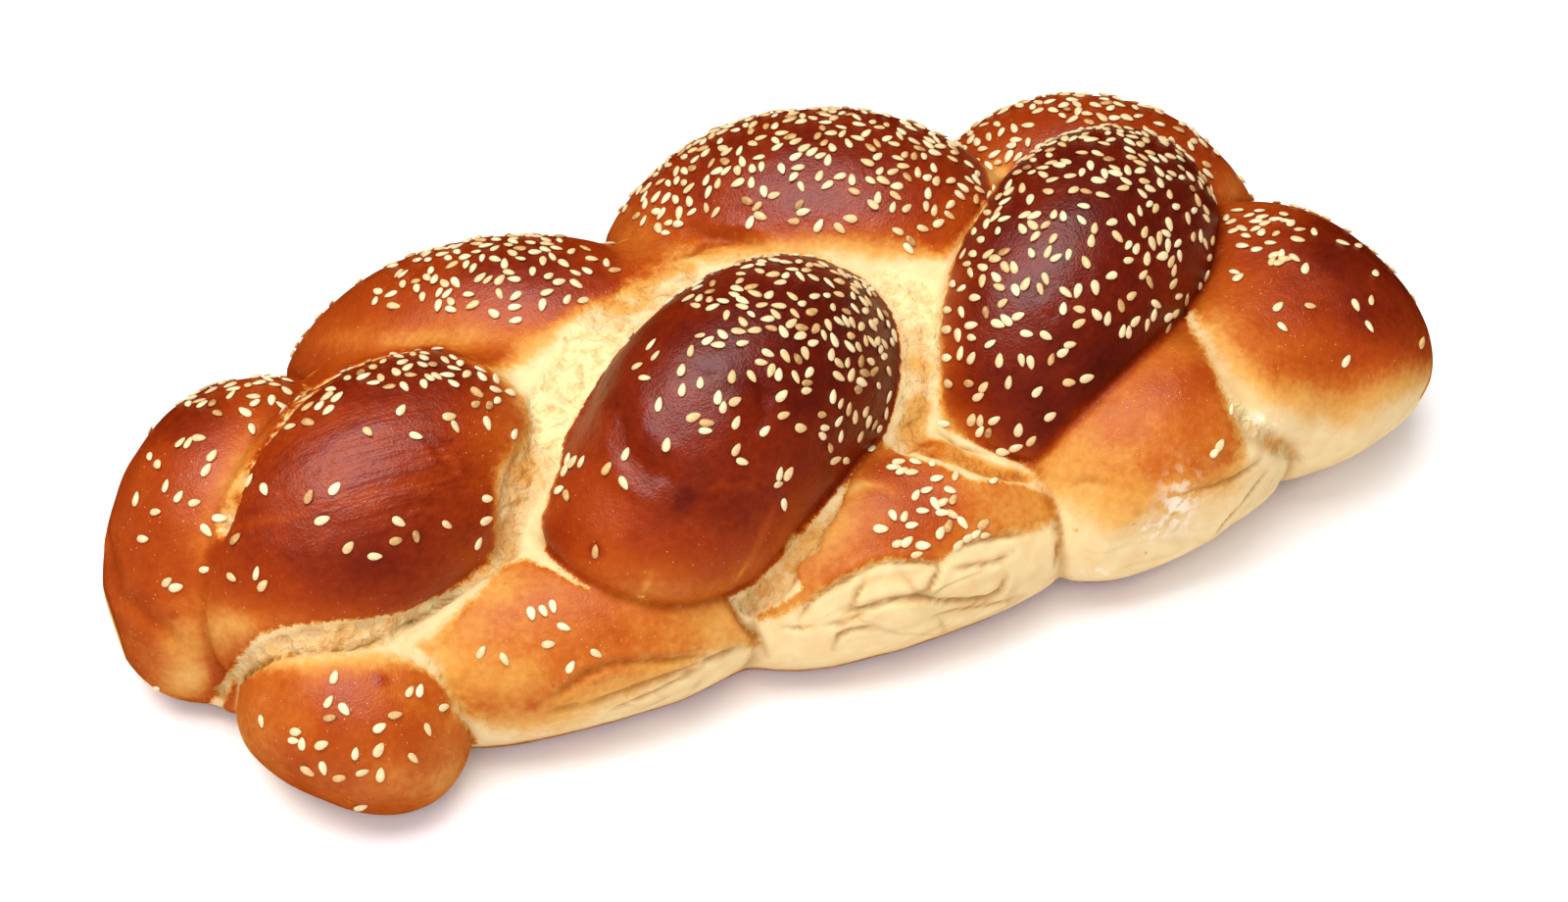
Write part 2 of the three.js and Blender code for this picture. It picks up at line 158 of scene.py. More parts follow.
# How brown the crust of a lobe is (0 cream, 1 deepest), the edge of its crust as pixels of the
# photograph with the width over which it fades in, and its darker and paler patches: pixel, reach
# across and down, and change
CRUSTS = {
    "near1": (
        0.7,
        (
            (318, 402, 3), (350, 379, 4), (412, 355, 4), (441, 355, 6), (474, 363, 8), (500, 376, 14),
            (523, 395, 20), (543, 415, 22), (549, 440, 22), (530, 462, 24), (517, 480, 22),
            (514, 500, 18), (512, 520, 14), (510, 540, 12), (508, 560, 8), (496, 577, 6), (480, 589, 5),
            (462, 601, 5), (440, 613, 4), (412, 625, 4), (366, 633, 4), (318, 637, 4), (285, 641, 4),
            (262, 650, 5), (250, 664, 4), (238, 680, 4), (226, 700, 4), (212, 706, 4), (190, 690, 3),
            (183, 645, 3), (188, 600, 3), (205, 565, 3), (228, 548, 3), (236, 530, 2), (243, 512, 3),
            (249, 495, 3), (254, 478, 3), (262, 463, 3), (274, 449, 3), (285, 436, 3), (301, 417, 3),
        ),
        (
            (420, 385, 110, 35, 0.14), (300, 500, 50, 40, 0.03), (380, 568, 115, 32, 0.1),
            (440, 508, 50, 26, 0.07), (215, 625, 60, 45, -0.16), (500, 565, 30, 30, -0.08),
            (520, 440, 35, 60, -0.24), (330, 634, 170, 16, -0.18), (230, 662, 45, 34, -0.26),
            (330, 505, 70, 12, -0.06), (480, 572, 36, 20, -0.1),
        ),
    ),
    "near2": (
        0.8,
        (
            (722, 268, 3), (742, 262, 3), (765, 257, 3), (801, 257, 3), (835, 262, 3), (864, 274, 3),
            (892, 288, 3), (912, 308, 3), (922, 329, 3), (924, 359, 3), (921, 389, 3), (915, 426, 4),
            (905, 452, 4), (893, 478, 4), (880, 495, 5), (864, 508, 6), (842, 524, 6), (822, 541, 6),
            (806, 556, 6), (801, 572, 5), (790, 588, 4), (770, 602, 3), (750, 612, 3), (735, 613, 3),
            (725, 620, 3), (690, 622, 3), (665, 618, 3), (655, 611, 3), (627, 609, 3), (593, 608, 3),
            (569, 600, 4), (558, 579, 5), (553, 551, 6), (552, 527, 6), (561, 502, 5), (572, 472, 4),
            (573, 453, 3), (579, 436, 3), (589, 414, 3), (596, 398, 3), (607, 382, 3), (616, 370, 3),
            (634, 349, 3), (650, 330, 3), (666, 315, 3), (681, 299, 3), (701, 283, 3),
        ),
        (
            (830, 340, 140, 90, 0.14), (690, 606, 150, 44, -0.34), (620, 560, 70, 50, -0.1),
            (810, 560, 60, 50, -0.16), (600, 500, 50, 60, -0.12),
        ),
    ),
    "near3": (
        0.86,
        (
            (1110, 119, 3), (1079, 125, 3), (1052, 142, 3), (1035, 168, 3), (1018, 195, 4),
            (1000, 218, 4), (983, 245, 4), (972, 268, 4), (966, 294, 6), (960, 325, 7), (958, 359, 12),
            (957, 417, 16), (962, 440, 18), (983, 455, 14), (1010, 466, 8), (1033, 474, 6),
            (1056, 472, 6), (1082, 458, 4), (1110, 438, 3), (1145, 412, 3), (1180, 386, 3),
            (1208, 355, 3), (1226, 322, 3), (1244, 288, 3), (1256, 256, 3), (1262, 225, 3),
            (1260, 195, 3), (1243, 156, 3), (1210, 127, 3), (1167, 108, 3),
        ),
        (
            (1150, 190, 90, 70, 0.08), (970, 446, 42, 28, -0.44), (1034, 463, 40, 13, -0.2),
            (1150, 385, 50, 40, 0.12), (962, 350, 26, 110, -0.26),
        ),
    ),
    "far0": (
        0.6,
        (
            (312, 388, 6), (300, 370, 3), (230, 365, 3), (150, 410, 3), (90, 490, 3), (80, 600, 3),
            (90, 690, 5), (140, 735, 8), (205, 735, 8), (222, 712, 5), (215, 690, 4), (208, 650, 4),
            (212, 600, 4), (228, 570, 4), (228, 552, 3), (224, 540, 4), (226, 525, 6), (236, 507, 8),
            (248, 490, 8), (260, 474, 5), (272, 456, 4), (284, 438, 4), (300, 416, 4), (312, 400, 4),
        ),
        (
            (195, 422, 60, 38, 0.22), (252, 462, 26, 50, -0.24), (232, 500, 28, 45, -0.16),
            (212, 560, 22, 40, -0.14), (188, 655, 32, 45, -0.32), (125, 650, 26, 50, -0.1),
            (140, 705, 60, 18, -0.15), (95, 520, 12, 60, -0.2), (200, 692, 24, 18, -0.24),
        ),
    ),
    "far1": (
        0.64,
        (
            (290, 385, 4), (285, 350, 3), (320, 300, 3), (380, 252, 3), (440, 225, 3), (520, 218, 3),
            (590, 230, 3), (628, 260, 3), (637, 290, 6), (630, 303, 12), (602, 312, 18), (578, 331, 22),
            (560, 349, 26), (541, 364, 26), (520, 378, 22), (495, 380, 12), (470, 372, 10),
            (441, 366, 8), (412, 366, 8), (380, 376, 8), (350, 390, 8), (318, 405, 8),
        ),
        (
            (540, 272, 80, 30, 0.18), (350, 345, 70, 40, -0.1), (440, 348, 90, 16, -0.26),
            (550, 350, 45, 25, -0.2), (470, 325, 50, 22, -0.16),
        ),
    ),
    "far2": (
        0.72,
        (
            (605, 292, 4), (595, 240, 3), (640, 160, 3), (730, 100, 3), (850, 85, 3), (940, 110, 3),
            (985, 150, 3), (1003, 176, 4), (1010, 200, 6), (1000, 222, 8), (985, 243, 12),
            (965, 262, 18), (930, 266, 28), (880, 262, 36), (820, 262, 38), (770, 262, 34),
            (735, 262, 30), (700, 265, 28), (670, 284, 24), (640, 294, 18),
        ),
        (
            (850, 145, 150, 45, 0.12), (650, 240, 50, 40, -0.3), (730, 240, 60, 25, -0.06),
            (870, 250, 110, 24, -0.26), (985, 225, 35, 35, -0.12),
        ),
    ),
    "far3": (
        0.66,
        (
            (965, 125, 3), (1040, 82, 3), (1120, 72, 3), (1210, 90, 3), (1275, 140, 3), (1300, 215, 4),
            (1262, 240, 4), (1240, 220, 3), (1225, 185, 3), (1195, 165, 3), (1155, 150, 3),
            (1110, 150, 3), (1085, 155, 3), (1066, 170, 3), (1050, 195, 3), (1030, 222, 4),
            (1000, 205, 4), (970, 160, 3),
        ),
        (
            (1016, 182, 26, 26, -0.48), (1258, 195, 25, 30, -0.26),
        ),
    ),
    "foot0": (
        0.5,
        (
            (236, 698, 8), (249, 685, 12), (272, 672, 18), (298, 668, 20), (337, 664, 20),
            (383, 663, 18), (415, 672, 16), (435, 680, 10), (454, 700, 8), (466, 725, 8), (480, 745, 5),
            (495, 770, 4), (480, 805, 4), (430, 850, 4), (370, 860, 4), (300, 840, 4), (235, 790, 4),
            (220, 730, 4),
        ),
        (
            (388, 694, 9, 5, 0.15), (405, 712, 30, 14, -0.06), (250, 755, 30, 45, -0.12),
            (470, 752, 22, 60, -0.1), (335, 674, 90, 16, -0.26), (425, 798, 60, 26, -0.15),
            (360, 735, 50, 22, 0.06), (295, 722, 30, 30, -0.06),
        ),
    ),
    "foot1": (
        0.4,
        (
            (425, 656, 18), (446, 640, 18), (470, 620, 12), (497, 592, 8), (510, 578, 8), (530, 568, 6),
            (542, 570, 5), (560, 578, 4), (580, 592, 3), (600, 598, 3), (627, 600, 3), (650, 604, 3),
            (668, 610, 3), (700, 612, 3), (740, 606, 3), (748, 612, 4), (757, 628, 5), (768, 645, 6),
            (778, 660, 8), (740, 664, 16), (717, 672, 20), (683, 688, 30), (640, 712, 40),
            (600, 732, 46), (566, 744, 46), (530, 750, 42), (500, 746, 30), (474, 734, 18),
            (456, 704, 12), (438, 676, 12), (424, 662, 14),
        ),
        (
            (585, 632, 60, 30, 0.04), (640, 650, 30, 20, 0.05), (470, 645, 50, 50, -0.04),
            (745, 645, 30, 30, -0.16), (520, 690, 50, 25, -0.1), (500, 600, 25, 20, -0.12),
            (702, 640, 26, 20, -0.08), (446, 676, 26, 28, -0.15),
        ),
    ),
    "foot2": (
        0.34,
        (
            (895, 450, 4), (880, 466, 3), (866, 488, 3), (857, 510, 3), (847, 532, 3), (838, 549, 3),
            (834, 561, 3), (814, 572, 3), (809, 582, 3), (813, 592, 3), (819, 601, 3), (800, 611, 4),
            (770, 629, 5), (775, 634, 6), (800, 628, 8), (822, 616, 8), (840, 603, 7), (862, 590, 7),
            (888, 577, 6), (905, 572, 6), (940, 572, 6), (962, 575, 6), (975, 562, 6), (990, 553, 8),
            (1015, 549, 10), (1045, 545, 12), (1072, 538, 12), (1081, 526, 8), (1077, 510, 8),
            (1060, 497, 6), (1038, 492, 6), (1015, 490, 5), (990, 487, 5), (960, 473, 5), (930, 466, 5),
        ),
        (
            (938, 508, 45, 32, 0.24), (1045, 525, 40, 35, -0.06), (858, 548, 34, 34, -0.1),
            (950, 545, 40, 18, 0.06), (896, 556, 48, 26, 0.14), (858, 592, 30, 16, 0.06),
            (905, 478, 25, 12, 0.2),
        ),
    ),
    "foot3": (
        0.4,
        (
            (1046, 474, 4), (1060, 448, 3), (1088, 422, 3), (1122, 396, 3), (1152, 370, 3),
            (1180, 342, 3), (1206, 318, 3), (1222, 338, 8), (1236, 362, 10), (1246, 387, 11),
            (1256, 412, 12), (1264, 430, 14), (1272, 452, 14), (1272, 480, 34), (1250, 512, 60),
            (1209, 534, 70), (1171, 544, 74), (1125, 544, 74), (1090, 530, 60), (1066, 504, 24),
        ),
        (
            (1220, 410, 45, 50, 0.04), (1224, 385, 24, 16, 0.12), (1090, 495, 50, 35, -0.12),
            (1120, 455, 40, 22, -0.06), (1178, 402, 24, 16, 0.05),
        ),
    ),
    "foot4": (
        0.48,
        (
            (1240, 222, 3), (1262, 200, 3), (1312, 190, 3), (1370, 205, 3), (1420, 240, 3),
            (1465, 285, 3), (1490, 335, 4), (1490, 362, 8), (1476, 378, 30), (1430, 406, 50),
            (1380, 426, 64), (1335, 432, 66), (1286, 410, 54), (1258, 384, 40), (1240, 356, 24),
            (1222, 332, 14), (1208, 300, 6), (1222, 262, 3),
        ),
        (
            (1366, 252, 76, 58, 0.38), (1432, 312, 42, 52, 0.24), (1384, 335, 30, 40, 0.16),
            (1318, 318, 44, 22, 0.14), (1275, 245, 40, 34, 0.1), (1246, 346, 34, 42, -0.17),
        ),
    ),
}
# How brown the underside is, and how much browner than pale dough the feet of the far side are
BAKED_BASE = 0.52
BACK_BROWNING = 0.3
# How far outside its outline a crust is still worked out, in pixels
OUTLINE_REACH = 14
# How far a crust's edge wanders: its depth in pixels or as a share of its fade, and how wide its
# bumps are in mm
FINE_WANDER = (1.6, 2.6)
BROAD_WANDER = (0.12, 7)
# How much of its fade a crust's edge starts outside its outline
EDGE_START = 0.3
# How many mm past the lobe that shows a crust still colours it, and over how many it fades there
OVERLAP = 1
OVERLAP_FADE = 0.8
# Crests whose crust ends at the crease with the next lobe, though its outline may be drawn wider
WHOLE_CRESTS = ("near2", "near3")
# How many mm off such a crest its crust ends, and over how many it fades in
CREST_END = 1.1
CREST_FADE = 0.5
# Pale dough that was never browned, and where the torn crumb caught some more colour
PALE = 0.08
TOASTED_CRUMB = (
    (640, 300, 40, 22, 0.18), (700, 266, 60, 14, 0.13), (940, 395, 20, 60, 0.12),
    (925, 445, 30, 25, 0.12), (1305, 455, 22, 20, 0.1), (530, 478, 13, 32, 0.12),
    (512, 548, 12, 26, 0.05), (238, 512, 5, 22, 0.2),
)

# Bands of torn crumb: how deep they are, how much colour their crumb caught, and their points as
# pixels of the photograph, with half the band's width there
TEARS = (
    (1.0, 0.1, (
        (208, 694, 8), (232, 692, 10), (250, 680, 12), (280, 664, 15), (320, 655, 16), (360, 650, 16),
        (395, 643, 14), (420, 630, 9), (450, 611, 6), (480, 594, 5),
    )),
    (0.9, 0.1, (
        (480, 594, 4), (502, 577, 7), (518, 560, 11), (524, 530, 15), (534, 500, 20), (545, 470, 24),
    )),
    (0.9, 0.02, (
        (545, 470, 24), (570, 420, 36), (600, 380, 40), (625, 335, 38), (655, 300, 26), (700, 278, 14),
    )),
    (2.4, 0.12, ((250, 488, 3), (243, 502, 7), (234, 520, 8), (228, 540, 6), (227, 548, 2))),
    (0.6, 0.06, (
        (1232, 372, 3), (1246, 396, 5), (1262, 416, 7), (1285, 438, 10), (1305, 455, 11),
        (1327, 472, 6),
    )),
    (1.6, 0.14, (
        (868, 500, 4), (856, 518, 8), (838, 538, 12), (820, 560, 13), (803, 582, 15), (785, 602, 16),
        (765, 618, 12), (752, 614, 6),
    )),
    (0.9, 0.08, (
        (418, 655, 2), (440, 674, 3), (452, 692, 4), (470, 708, 4), (486, 726, 5), (500, 744, 5),
    )),
    (1.2, 0.12, ((203, 660, 4), (208, 685, 7), (224, 706, 9))),
    (0.7, 0.03, (
        (905, 290, 16), (935, 306, 22), (942, 350, 20), (938, 400, 18), (930, 440, 16), (912, 466, 8),
    )),
    # This band's crumb is browner: partly toasted crumb, partly painted shade of its crevice
    (0.8, 0.34, ((935, 450, 10), (985, 468, 9), (1020, 482, 8), (1050, 487, 5))),
)

# Creases: their depth and half width in mm, and their points as pixels of the photograph
FOLDS = (
    (0.8, 0.8, ((566, 712), (596, 688), (626, 677), (680, 673), (725, 667))),
    (0.8, 0.8, ((557, 727), (613, 714), (650, 701), (683, 688), (761, 658))),
    (0.5, 0.7, ((626, 724), (674, 702), (717, 680))),
    (0.6, 0.7, ((815, 632), (826, 615), (850, 598), (880, 583), (897, 574), (940, 573), (962, 577))),
    (0.9, 0.75, (
        (862, 625), (885, 620), (910, 613), (935, 608), (960, 614), (985, 613), (1006, 611),
        (1022, 603), (1028, 590),
    )),
    (0.6, 0.7, ((935, 608), (950, 600), (958, 584), (958, 568))),
    (0.5, 0.7, ((842, 638), (866, 633), (886, 622))),
    (0.5, 0.7, ((850, 663), (855, 648), (870, 641), (897, 640))),
    (0.4, 0.7, ((952, 630), (975, 622), (1000, 618), (1030, 612))),
    (0.4, 0.7, ((868, 622), (876, 605), (882, 590))),
    (0.5, 0.7, ((984, 556), (1000, 551), (1025, 547), (1046, 545))),
    (0.5, 0.7, ((975, 580), (995, 577), (1016, 574), (1036, 563))),
    (0.4, 0.7, ((960, 632), (964, 645), (958, 656))),
    (0.4, 0.7, ((798, 640), (815, 641), (832, 639))),
    (1.2, 0.9, ((743, 612), (752, 626), (763, 641), (775, 655), (781, 670))),
    (0.8, 0.8, ((1209, 506), (1230, 499), (1263, 487), (1288, 468))),
    (0.7, 0.7, ((1092, 496), (1110, 490), (1129, 495))),
    (0.5, 0.7, ((1240, 545), (1265, 517), (1292, 482))),
    (0.4, 0.6, ((1064, 500), (1077, 520), (1083, 550), (1076, 578))),
    (0.4, 0.7, ((436, 452), (462, 478))),
    (0.75, 2.2, ((630, 415), (634, 432), (642, 458), (661, 481), (692, 490))),
    (0.55, 2.4, ((770, 384), (778, 402), (774, 424), (760, 442))),
    (0.5, 1.8, ((112, 562), (122, 604), (150, 628), (176, 642), (186, 664))),
    (0.5, 1.1, ((130, 470), (118, 500), (110, 532), (111, 560))),
    (0.6, 1.2, ((692, 262), (720, 250), (762, 243))),
    (0.6, 1.2, ((702, 236), (742, 243), (782, 250))),
    (0.7, 0.9, ((957, 436), (978, 452), (1004, 461))),
    (1.0, 0.5, (
        (238, 699), (256, 684), (275, 673), (300, 666), (322, 663), (350, 660), (376, 655), (398, 646),
    )),
    (1.0, 0.5, ((402, 643), (420, 636), (442, 624), (470, 601))),
)
# How far around a crease its relief reaches in mm, how strong its ends are, and how high its rims
# stand beside it and how many half widths away
FOLD_REACH = 6
FOLD_ENDS = 0.35
FOLD_RIM = 0.45
FOLD_RIM_AT = 2.3
# Cracks where paler dough shows through the crust: how much paler they are, and their points as pixels
CRACKS = (
    (0.22, ((789, 521), (783, 533), (775, 549), (768, 566), (758, 582), (752, 592))),
    (0.1, ((726, 499), (738, 494), (752, 497), (766, 495))),
    (0.16, ((664, 584), (662, 595), (656, 603))),
    (0.16, ((800, 556), (810, 551), (820, 549))),
    (0.14, ((236, 540), (262, 533), (290, 528), (318, 519), (345, 512))),
    (0.08, ((350, 511), (385, 497), (425, 484), (456, 474))),
    (0.05, ((372, 520), (408, 503), (446, 490))),
    (0.07, ((398, 476), (430, 470), (466, 470))),
    (0.2, ((866, 500), (880, 494), (900, 496), (912, 503))),
)
# Scars and toasted spots: pixel, radius in mm, depth, and how much browner they are
SPOTS = (
    ((697, 512), 2.4, 0.15, 0.1), ((725, 378), 1.1, 0.45, 0.1), ((712, 372), 0.7, 0.3, 0.08),
    ((847, 389), 1, 0.4, 0.08), ((628, 412), 0.9, 0.3, 0.08), ((607, 562), 1.7, 0.25, 0.14),
    ((647, 550), 1.6, 0.1, 0.07), ((1062, 300), 0.8, 0.3, 0.05), ((1075, 322), 0.8, 0.3, 0.05),
    ((179, 628), 0.8, 0.2, 0.15), ((388, 694), 1.4, -0.3, 0.14), ((543, 719), 0.9, 0.1, 0.2),
    ((1161, 523), 0.8, 0.1, 0.25), ((578, 382), 0.5, 0.1, 0.6), ((560, 430), 0.45, 0.1, 0.4),
    ((777, 645), 0.7, 0.1, 0.2), ((291, 468), 0.9, 0.2, 0.06),
)

# Where pale dough is wrinkled all over: pixel, reach across and down, and depth
WRINKLED = (
    ((940, 612), (125, 42), 0.32),
    ((650, 706), (120, 22), 0.25),
    ((1190, 560), (90, 30), 0.18),
)
# How much longer wrinkles are than wide, how far apart they are in mm, half their width as a share
# of that, how far they wander and over what, and how much the dough between them swells and how wide
WRINKLE_STRETCH = (2.2, 1, 1)
WRINKLE_APART = 5.5
WRINKLE_HALF = 0.16
WRINKLE_WANDER = (0.8, 6)
WRINKLE_SWELL = (0.35, 5)

# Where some flour is left on the dough: pixel, and reach across and down
FLOURED = (
    ((1206, 520), (20, 32)),
    ((1184, 548), (18, 12)),
    ((1120, 585), (16, 5)),
    ((1290, 430), (14, 10)),
)

# The stretched, finely lined crust of the first near crest: its pixel and reach across and down, the
# lines' heading about Z, their depth, and how much browner and paler they are
LINED = {"pixel": (405, 475), "reach": (110, 62), "heading": -4, "depth": 0.16, "browning": 0.06}

# Unevenness in layers, each with its height and how wide its bumps are: of the whole loaf, of torn
# crumb, and of the lines of the stretched crust
LOAF_LAYERS = ((0.45, 19), (0.2, 8), (0.07, 3))
TORN_LAYERS = ((0.6, 3.4), (0.6, 2), (0.4, 1.3))
LINE_LAYERS = ((1, 1.3), (0.6, 2.4))
# How much longer the lines of the stretched crust are than wide
LINE_STRETCH = 14
# Up to what height the relief fades out, so that the loaf rests flat
RELIEF_HEIGHTS = (0.1, 2.5)

# Sides that the photograph doesn't show, as heights in mm: where browning fades in, where the baked
# rim of the underside fades out, and where torn crumb fades in
BROWN_HEIGHTS = (10, 27)
BASE_HEIGHTS = (3, 8)
TORN_HEIGHTS = (16, 24)
# How wide torn crumb is between two lobes there, where it is full and where it ends
TORN_GAPS = (1.2, 2.6)

# A sesame seed's length, width and height, how deep it sits, how much its tip narrows, and how much
# its middle swells to make up for that
SEED_SIZE = (3.2, 1.9, 0.85)
SEED_SUNK = 0.12
SEED_TIP = 0.42
SEED_SWELL = 1.08
SEED_SIDES = 10
SEED_RINGS = 7
# How close two seeds lie, how many spots are looked at, and how many more are tried than are wanted,
# as some of them lie too close to a seed
SEED_GAP = 1.3
CANDIDATES = 30000
SPARE_TRIES = 1.5
# Where seeds lie thick: lobe, pixel, reach across and down, and how many on a square centimetre
SPRINKLES = (
    ("near2", (822, 325), (112, 74), 18),
    ("near2", (870, 420), (45, 50), 5),
    ("near2", (742, 303), (46, 32), 10),
    ("near3", (1110, 215), (140, 115), 9.5),
    ("near3", (1130, 165), (90, 50), 14),
    ("near3", (995, 300), (40, 70), 12),
    ("near3", (1090, 300), (60, 40), 6),
    ("near3", (1200, 280), (40, 70), 4.5),
    ("far2", (830, 150), (175, 56), 14),
    ("far2", (940, 185), (75, 50), 14),
    ("far2", (690, 205), (55, 38), 9),
    ("far2", (830, 192), (150, 48), 7),
    ("far2", (940, 240), (50, 28), 6),
    ("far1", (510, 280), (118, 48), 13),
    ("far1", (395, 310), (22, 16), 8),
    ("far3", (1010, 150), (50, 32), 17),
    ("far3", (1110, 108), (90, 18), 14),
    ("far3", (1210, 150), (50, 40), 5),
    ("far0", (245, 405), (70, 25), 7),
    ("near1", (430, 375), (100, 26), 16),
    ("near1", (326, 408), (22, 15), 12),
    ("near1", (500, 400), (34, 36), 9),
    ("foot4", (1290, 232), (55, 20), 10),
    ("foot4", (1300, 262), (28, 10), 8),
)
# How much seeds lean, the shares of their full length and width that they have, and how far inside the
# solid's box they stay, in mm
SEED_LEAN = 0.1
SEED_LENGTHS = (0.8, 1)
SEED_WIDTHS = (0.9, 1.1)
SEED_INSIDE = 0.05
# How many pixels inside its crust's edge a lobe's thick seeds end
SEED_MARGIN = 5
# Seeds on the crests' far flanks, on a square centimetre
HIDDEN_SEEDS = 4.5
SEEDED_LOBES = ("near1", "near2", "near3", "far0", "far1", "far2", "far3", "foot4")
# Seeds that lie alone, read on enlarged parts of the photograph: the part's corner as a pixel, how
# much it is enlarged, and each seed's place in it and the way that it points
LONE_SEEDS = {
    "foot0": ((80, 320), 1.96, (
        (512, 727, 75), (501, 776, 60), (532, 791, -50), (504, 808, 10), (633, 803, 10), (602, 828, 30),
        (662, 756, 60), (682, 754, 80), (730, 787, 20), (698, 832, -75), (669, 888, -50),
        (601, 871, 60), (554, 879, 80), (487, 862, 20), (448, 859, 80), (436, 836, 0), (431, 853, 0),
        (367, 815, -80), (459, 913, -45), (490, 908, -75), (523, 927, 15), (568, 916, 15),
        (604, 921, 80), (565, 985, 10),
    )),
    "foot1": ((80, 320), 1.96, (
        (906, 600, -75), (930, 595, -60), (949, 586, -75), (971, 626, -20), (940, 661, 5),
        (1035, 679, -30), (984, 706, 60), (806, 676, 60), (852, 691, -60),
    )),
    "near1": ((80, 320), 1.96, (
        (373, 352, -60), (343, 334, 60), (462, 366, 70), (513, 350, 50), (488, 413, 20),
        (640, 416, -30), (736, 422, -30), (634, 454, 10), (675, 446, -80), (593, 485, 0),
        (540, 467, 50), (817, 370, 0), (815, 413, 30), (799, 459, 60), (579, 237, -50), (645, 194, 60),
        (675, 245, -20), (741, 207, 10), (753, 227, -60), (817, 220, -70), (871, 241, 70),
        (461, 219, -10), (425, 227, 10), (316, 450, 45), (308, 527, -30), (357, 519, 80),
        (370, 543, 45),
    )),
    "far0": ((80, 320), 1.96, (
        (283, 409, 0), (257, 433, -45), (268, 285, 60), (256, 313, 60), (347, 232, -70),
        (279, 201, -30), (242, 250, 0), (221, 259, 60), (205, 259, 60), (144, 287, -60),
        (160, 303, -50), (176, 345, 80), (117, 371, 80), (156, 397, 0), (201, 366, 60), (233, 378, 10),
        (131, 450, 0), (178, 536, 40), (196, 547, 10), (91, 629, -10), (254, 511, 10), (87, 688, 70),
        (157, 747, 20), (354, 180, 45),
    )),
    "near2": ((540, 240), 2.613, (
        (346, 452, 80), (408, 413, 80), (407, 361, 80), (456, 394, 85), (540, 378, 80), (503, 433, 80),
        (548, 443, 30), (517, 459, 80), (438, 485, 20), (474, 501, 0), (470, 521, 0), (551, 499, 70),
        (628, 522, 45), (677, 480, 20), (722, 514, 0), (779, 478, 0), (787, 513, 0), (829, 535, 80),
        (881, 536, 60), (914, 570, 60), (815, 598, 30), (843, 600, -30), (367, 559, 80), (258, 584, 70),
        (209, 622, 60), (253, 661, -60), (141, 604, 60), (117, 605, 60), (98, 625, 60), (104, 597, 70),
        (82, 679, 20), (101, 695, -70), (178, 842, 80), (551, 571, 60), (567, 603, -15), (666, 635, 80),
        (690, 635, 60), (663, 663, 10), (677, 717, -80), (309, 382, 0), (290, 350, 20), (327, 293, 45),
        (338, 322, 45), (431, 309, 75), (593, 377, -60), (664, 372, 80), (709, 379, -70),
        (740, 394, 10), (738, 414, 10), (673, 428, 45), (808, 430, 80), (829, 448, 60), (850, 462, 80),
        (875, 412, 0), (895, 470, 60), (949, 474, 70), (932, 515, 30), (918, 362, 60),
    )),
    "foot2": ((540, 240), 2.613, (
        (1137, 640, 70), (1087, 649, 10), (1122, 680, -20), (1060, 680, 20), (1031, 693, 60),
        (970, 748, -70), (1000, 750, 70), (1049, 735, 0), (1082, 717, -60), (1103, 712, 30),
        (1130, 705, 60), (1102, 740, 0), (1128, 745, -30), (1020, 773, 10), (937, 783, 0),
        (1095, 793, 60), (1117, 775, 70), (1155, 767, -50), (1210, 770, 40), (1170, 805, 20),
        (1143, 825, 50), (1190, 795, 30), (1215, 798, 0), (1007, 817, 40), (983, 822, 20),
        (1050, 827, 0), (1033, 850, 10), (972, 620, 0), (993, 630, 30), (1020, 633, 0),
        (1030, 605, -20), (1075, 608, 60), (985, 605, 10), (1238, 655, 30),
    )),
    "near3": ((900, 60), 2.613, (
        (314, 804, 85), (338, 862, 80), (372, 803, -80), (396, 809, -80), (451, 801, 70),
        (482, 783, 30), (500, 762, 10), (414, 887, 45), (498, 862, 0), (545, 850, 20), (448, 953, 30),
        (364, 988, 80), (398, 1017, 50), (357, 1035, 15), (322, 1048, 0), (240, 961, 70),
        (263, 963, 80), (300, 963, 30), (262, 992, 60), (285, 995, 70), (258, 900, 30), (272, 875, 50),
        (234, 865, 0), (180, 866, -10), (166, 972, 0), (211, 785, 80), (240, 797, 60), (175, 797, 0),
        (290, 760, 30), (241, 744, -20), (310, 707, -20), (364, 686, 20), (386, 733, -10),
        (437, 738, -30), (525, 705, 30), (600, 692, 80), (674, 699, 45), (723, 682, 80), (640, 725, 80),
        (656, 728, 80), (762, 688, 30), (781, 678, 45), (810, 640, 80), (323, 651, 30), (384, 601, 60),
    )),
    "foot4": ((900, 60), 2.613, (
        (940, 460, 20), (960, 455, -30), (1012, 465, 60), (1022, 440, 10), (1050, 430, 0),
        (1078, 435, -20), (1090, 440, 40), (1108, 484, -10), (1045, 525, 30), (1065, 520, 70),
        (1075, 535, 0), (1040, 540, 60), (1060, 545, 20), (1100, 533, -40), (1128, 560, 70),
        (940, 570, -20), (950, 585, 40), (1228, 493, -30), (1270, 500, 10), (1315, 573, 70),
        (1056, 662, 40), (1141, 660, 0), (1262, 658, -70), (1303, 644, 80), (1298, 715, -60),
        (1067, 716, -45), (1237, 806, 60), (1437, 757, 80),
    )),
    "foot3": ((900, 60), 2.613, (
        (930, 933, 80), (900, 1030, 60), (886, 1050, 40),
    )),
}

# Cream, gold and brown of the crust, from never browned to deepest, in sRGB
CRUST_COLOURS = (
    (0.0, (227, 211, 154)),
    (0.08, (215, 188, 139)),
    (0.18, (206, 154, 82)),
    (0.28, (194, 130, 55)),
    (0.4, (176, 90, 24)),
    (0.5, (160, 68, 11)),
    (0.6, (148, 54, 5)),
    (0.7, (133, 41, 2)),
    (0.8, (111, 28, 2)),
    (0.9, (89, 18, 3)),
    (1.0, (68, 11, 3)),
)
# Painted shade in the holes of torn crumb, mixed in more where the tear lies deeper
PAINTED_PIT_SHADE = (203, 143, 74)
FLOUR = (232, 222, 203)
# Painted shade: what the colour at the bottom of a crease is multiplied by
PAINTED_CREASE_SHADE = (196, 166, 128)
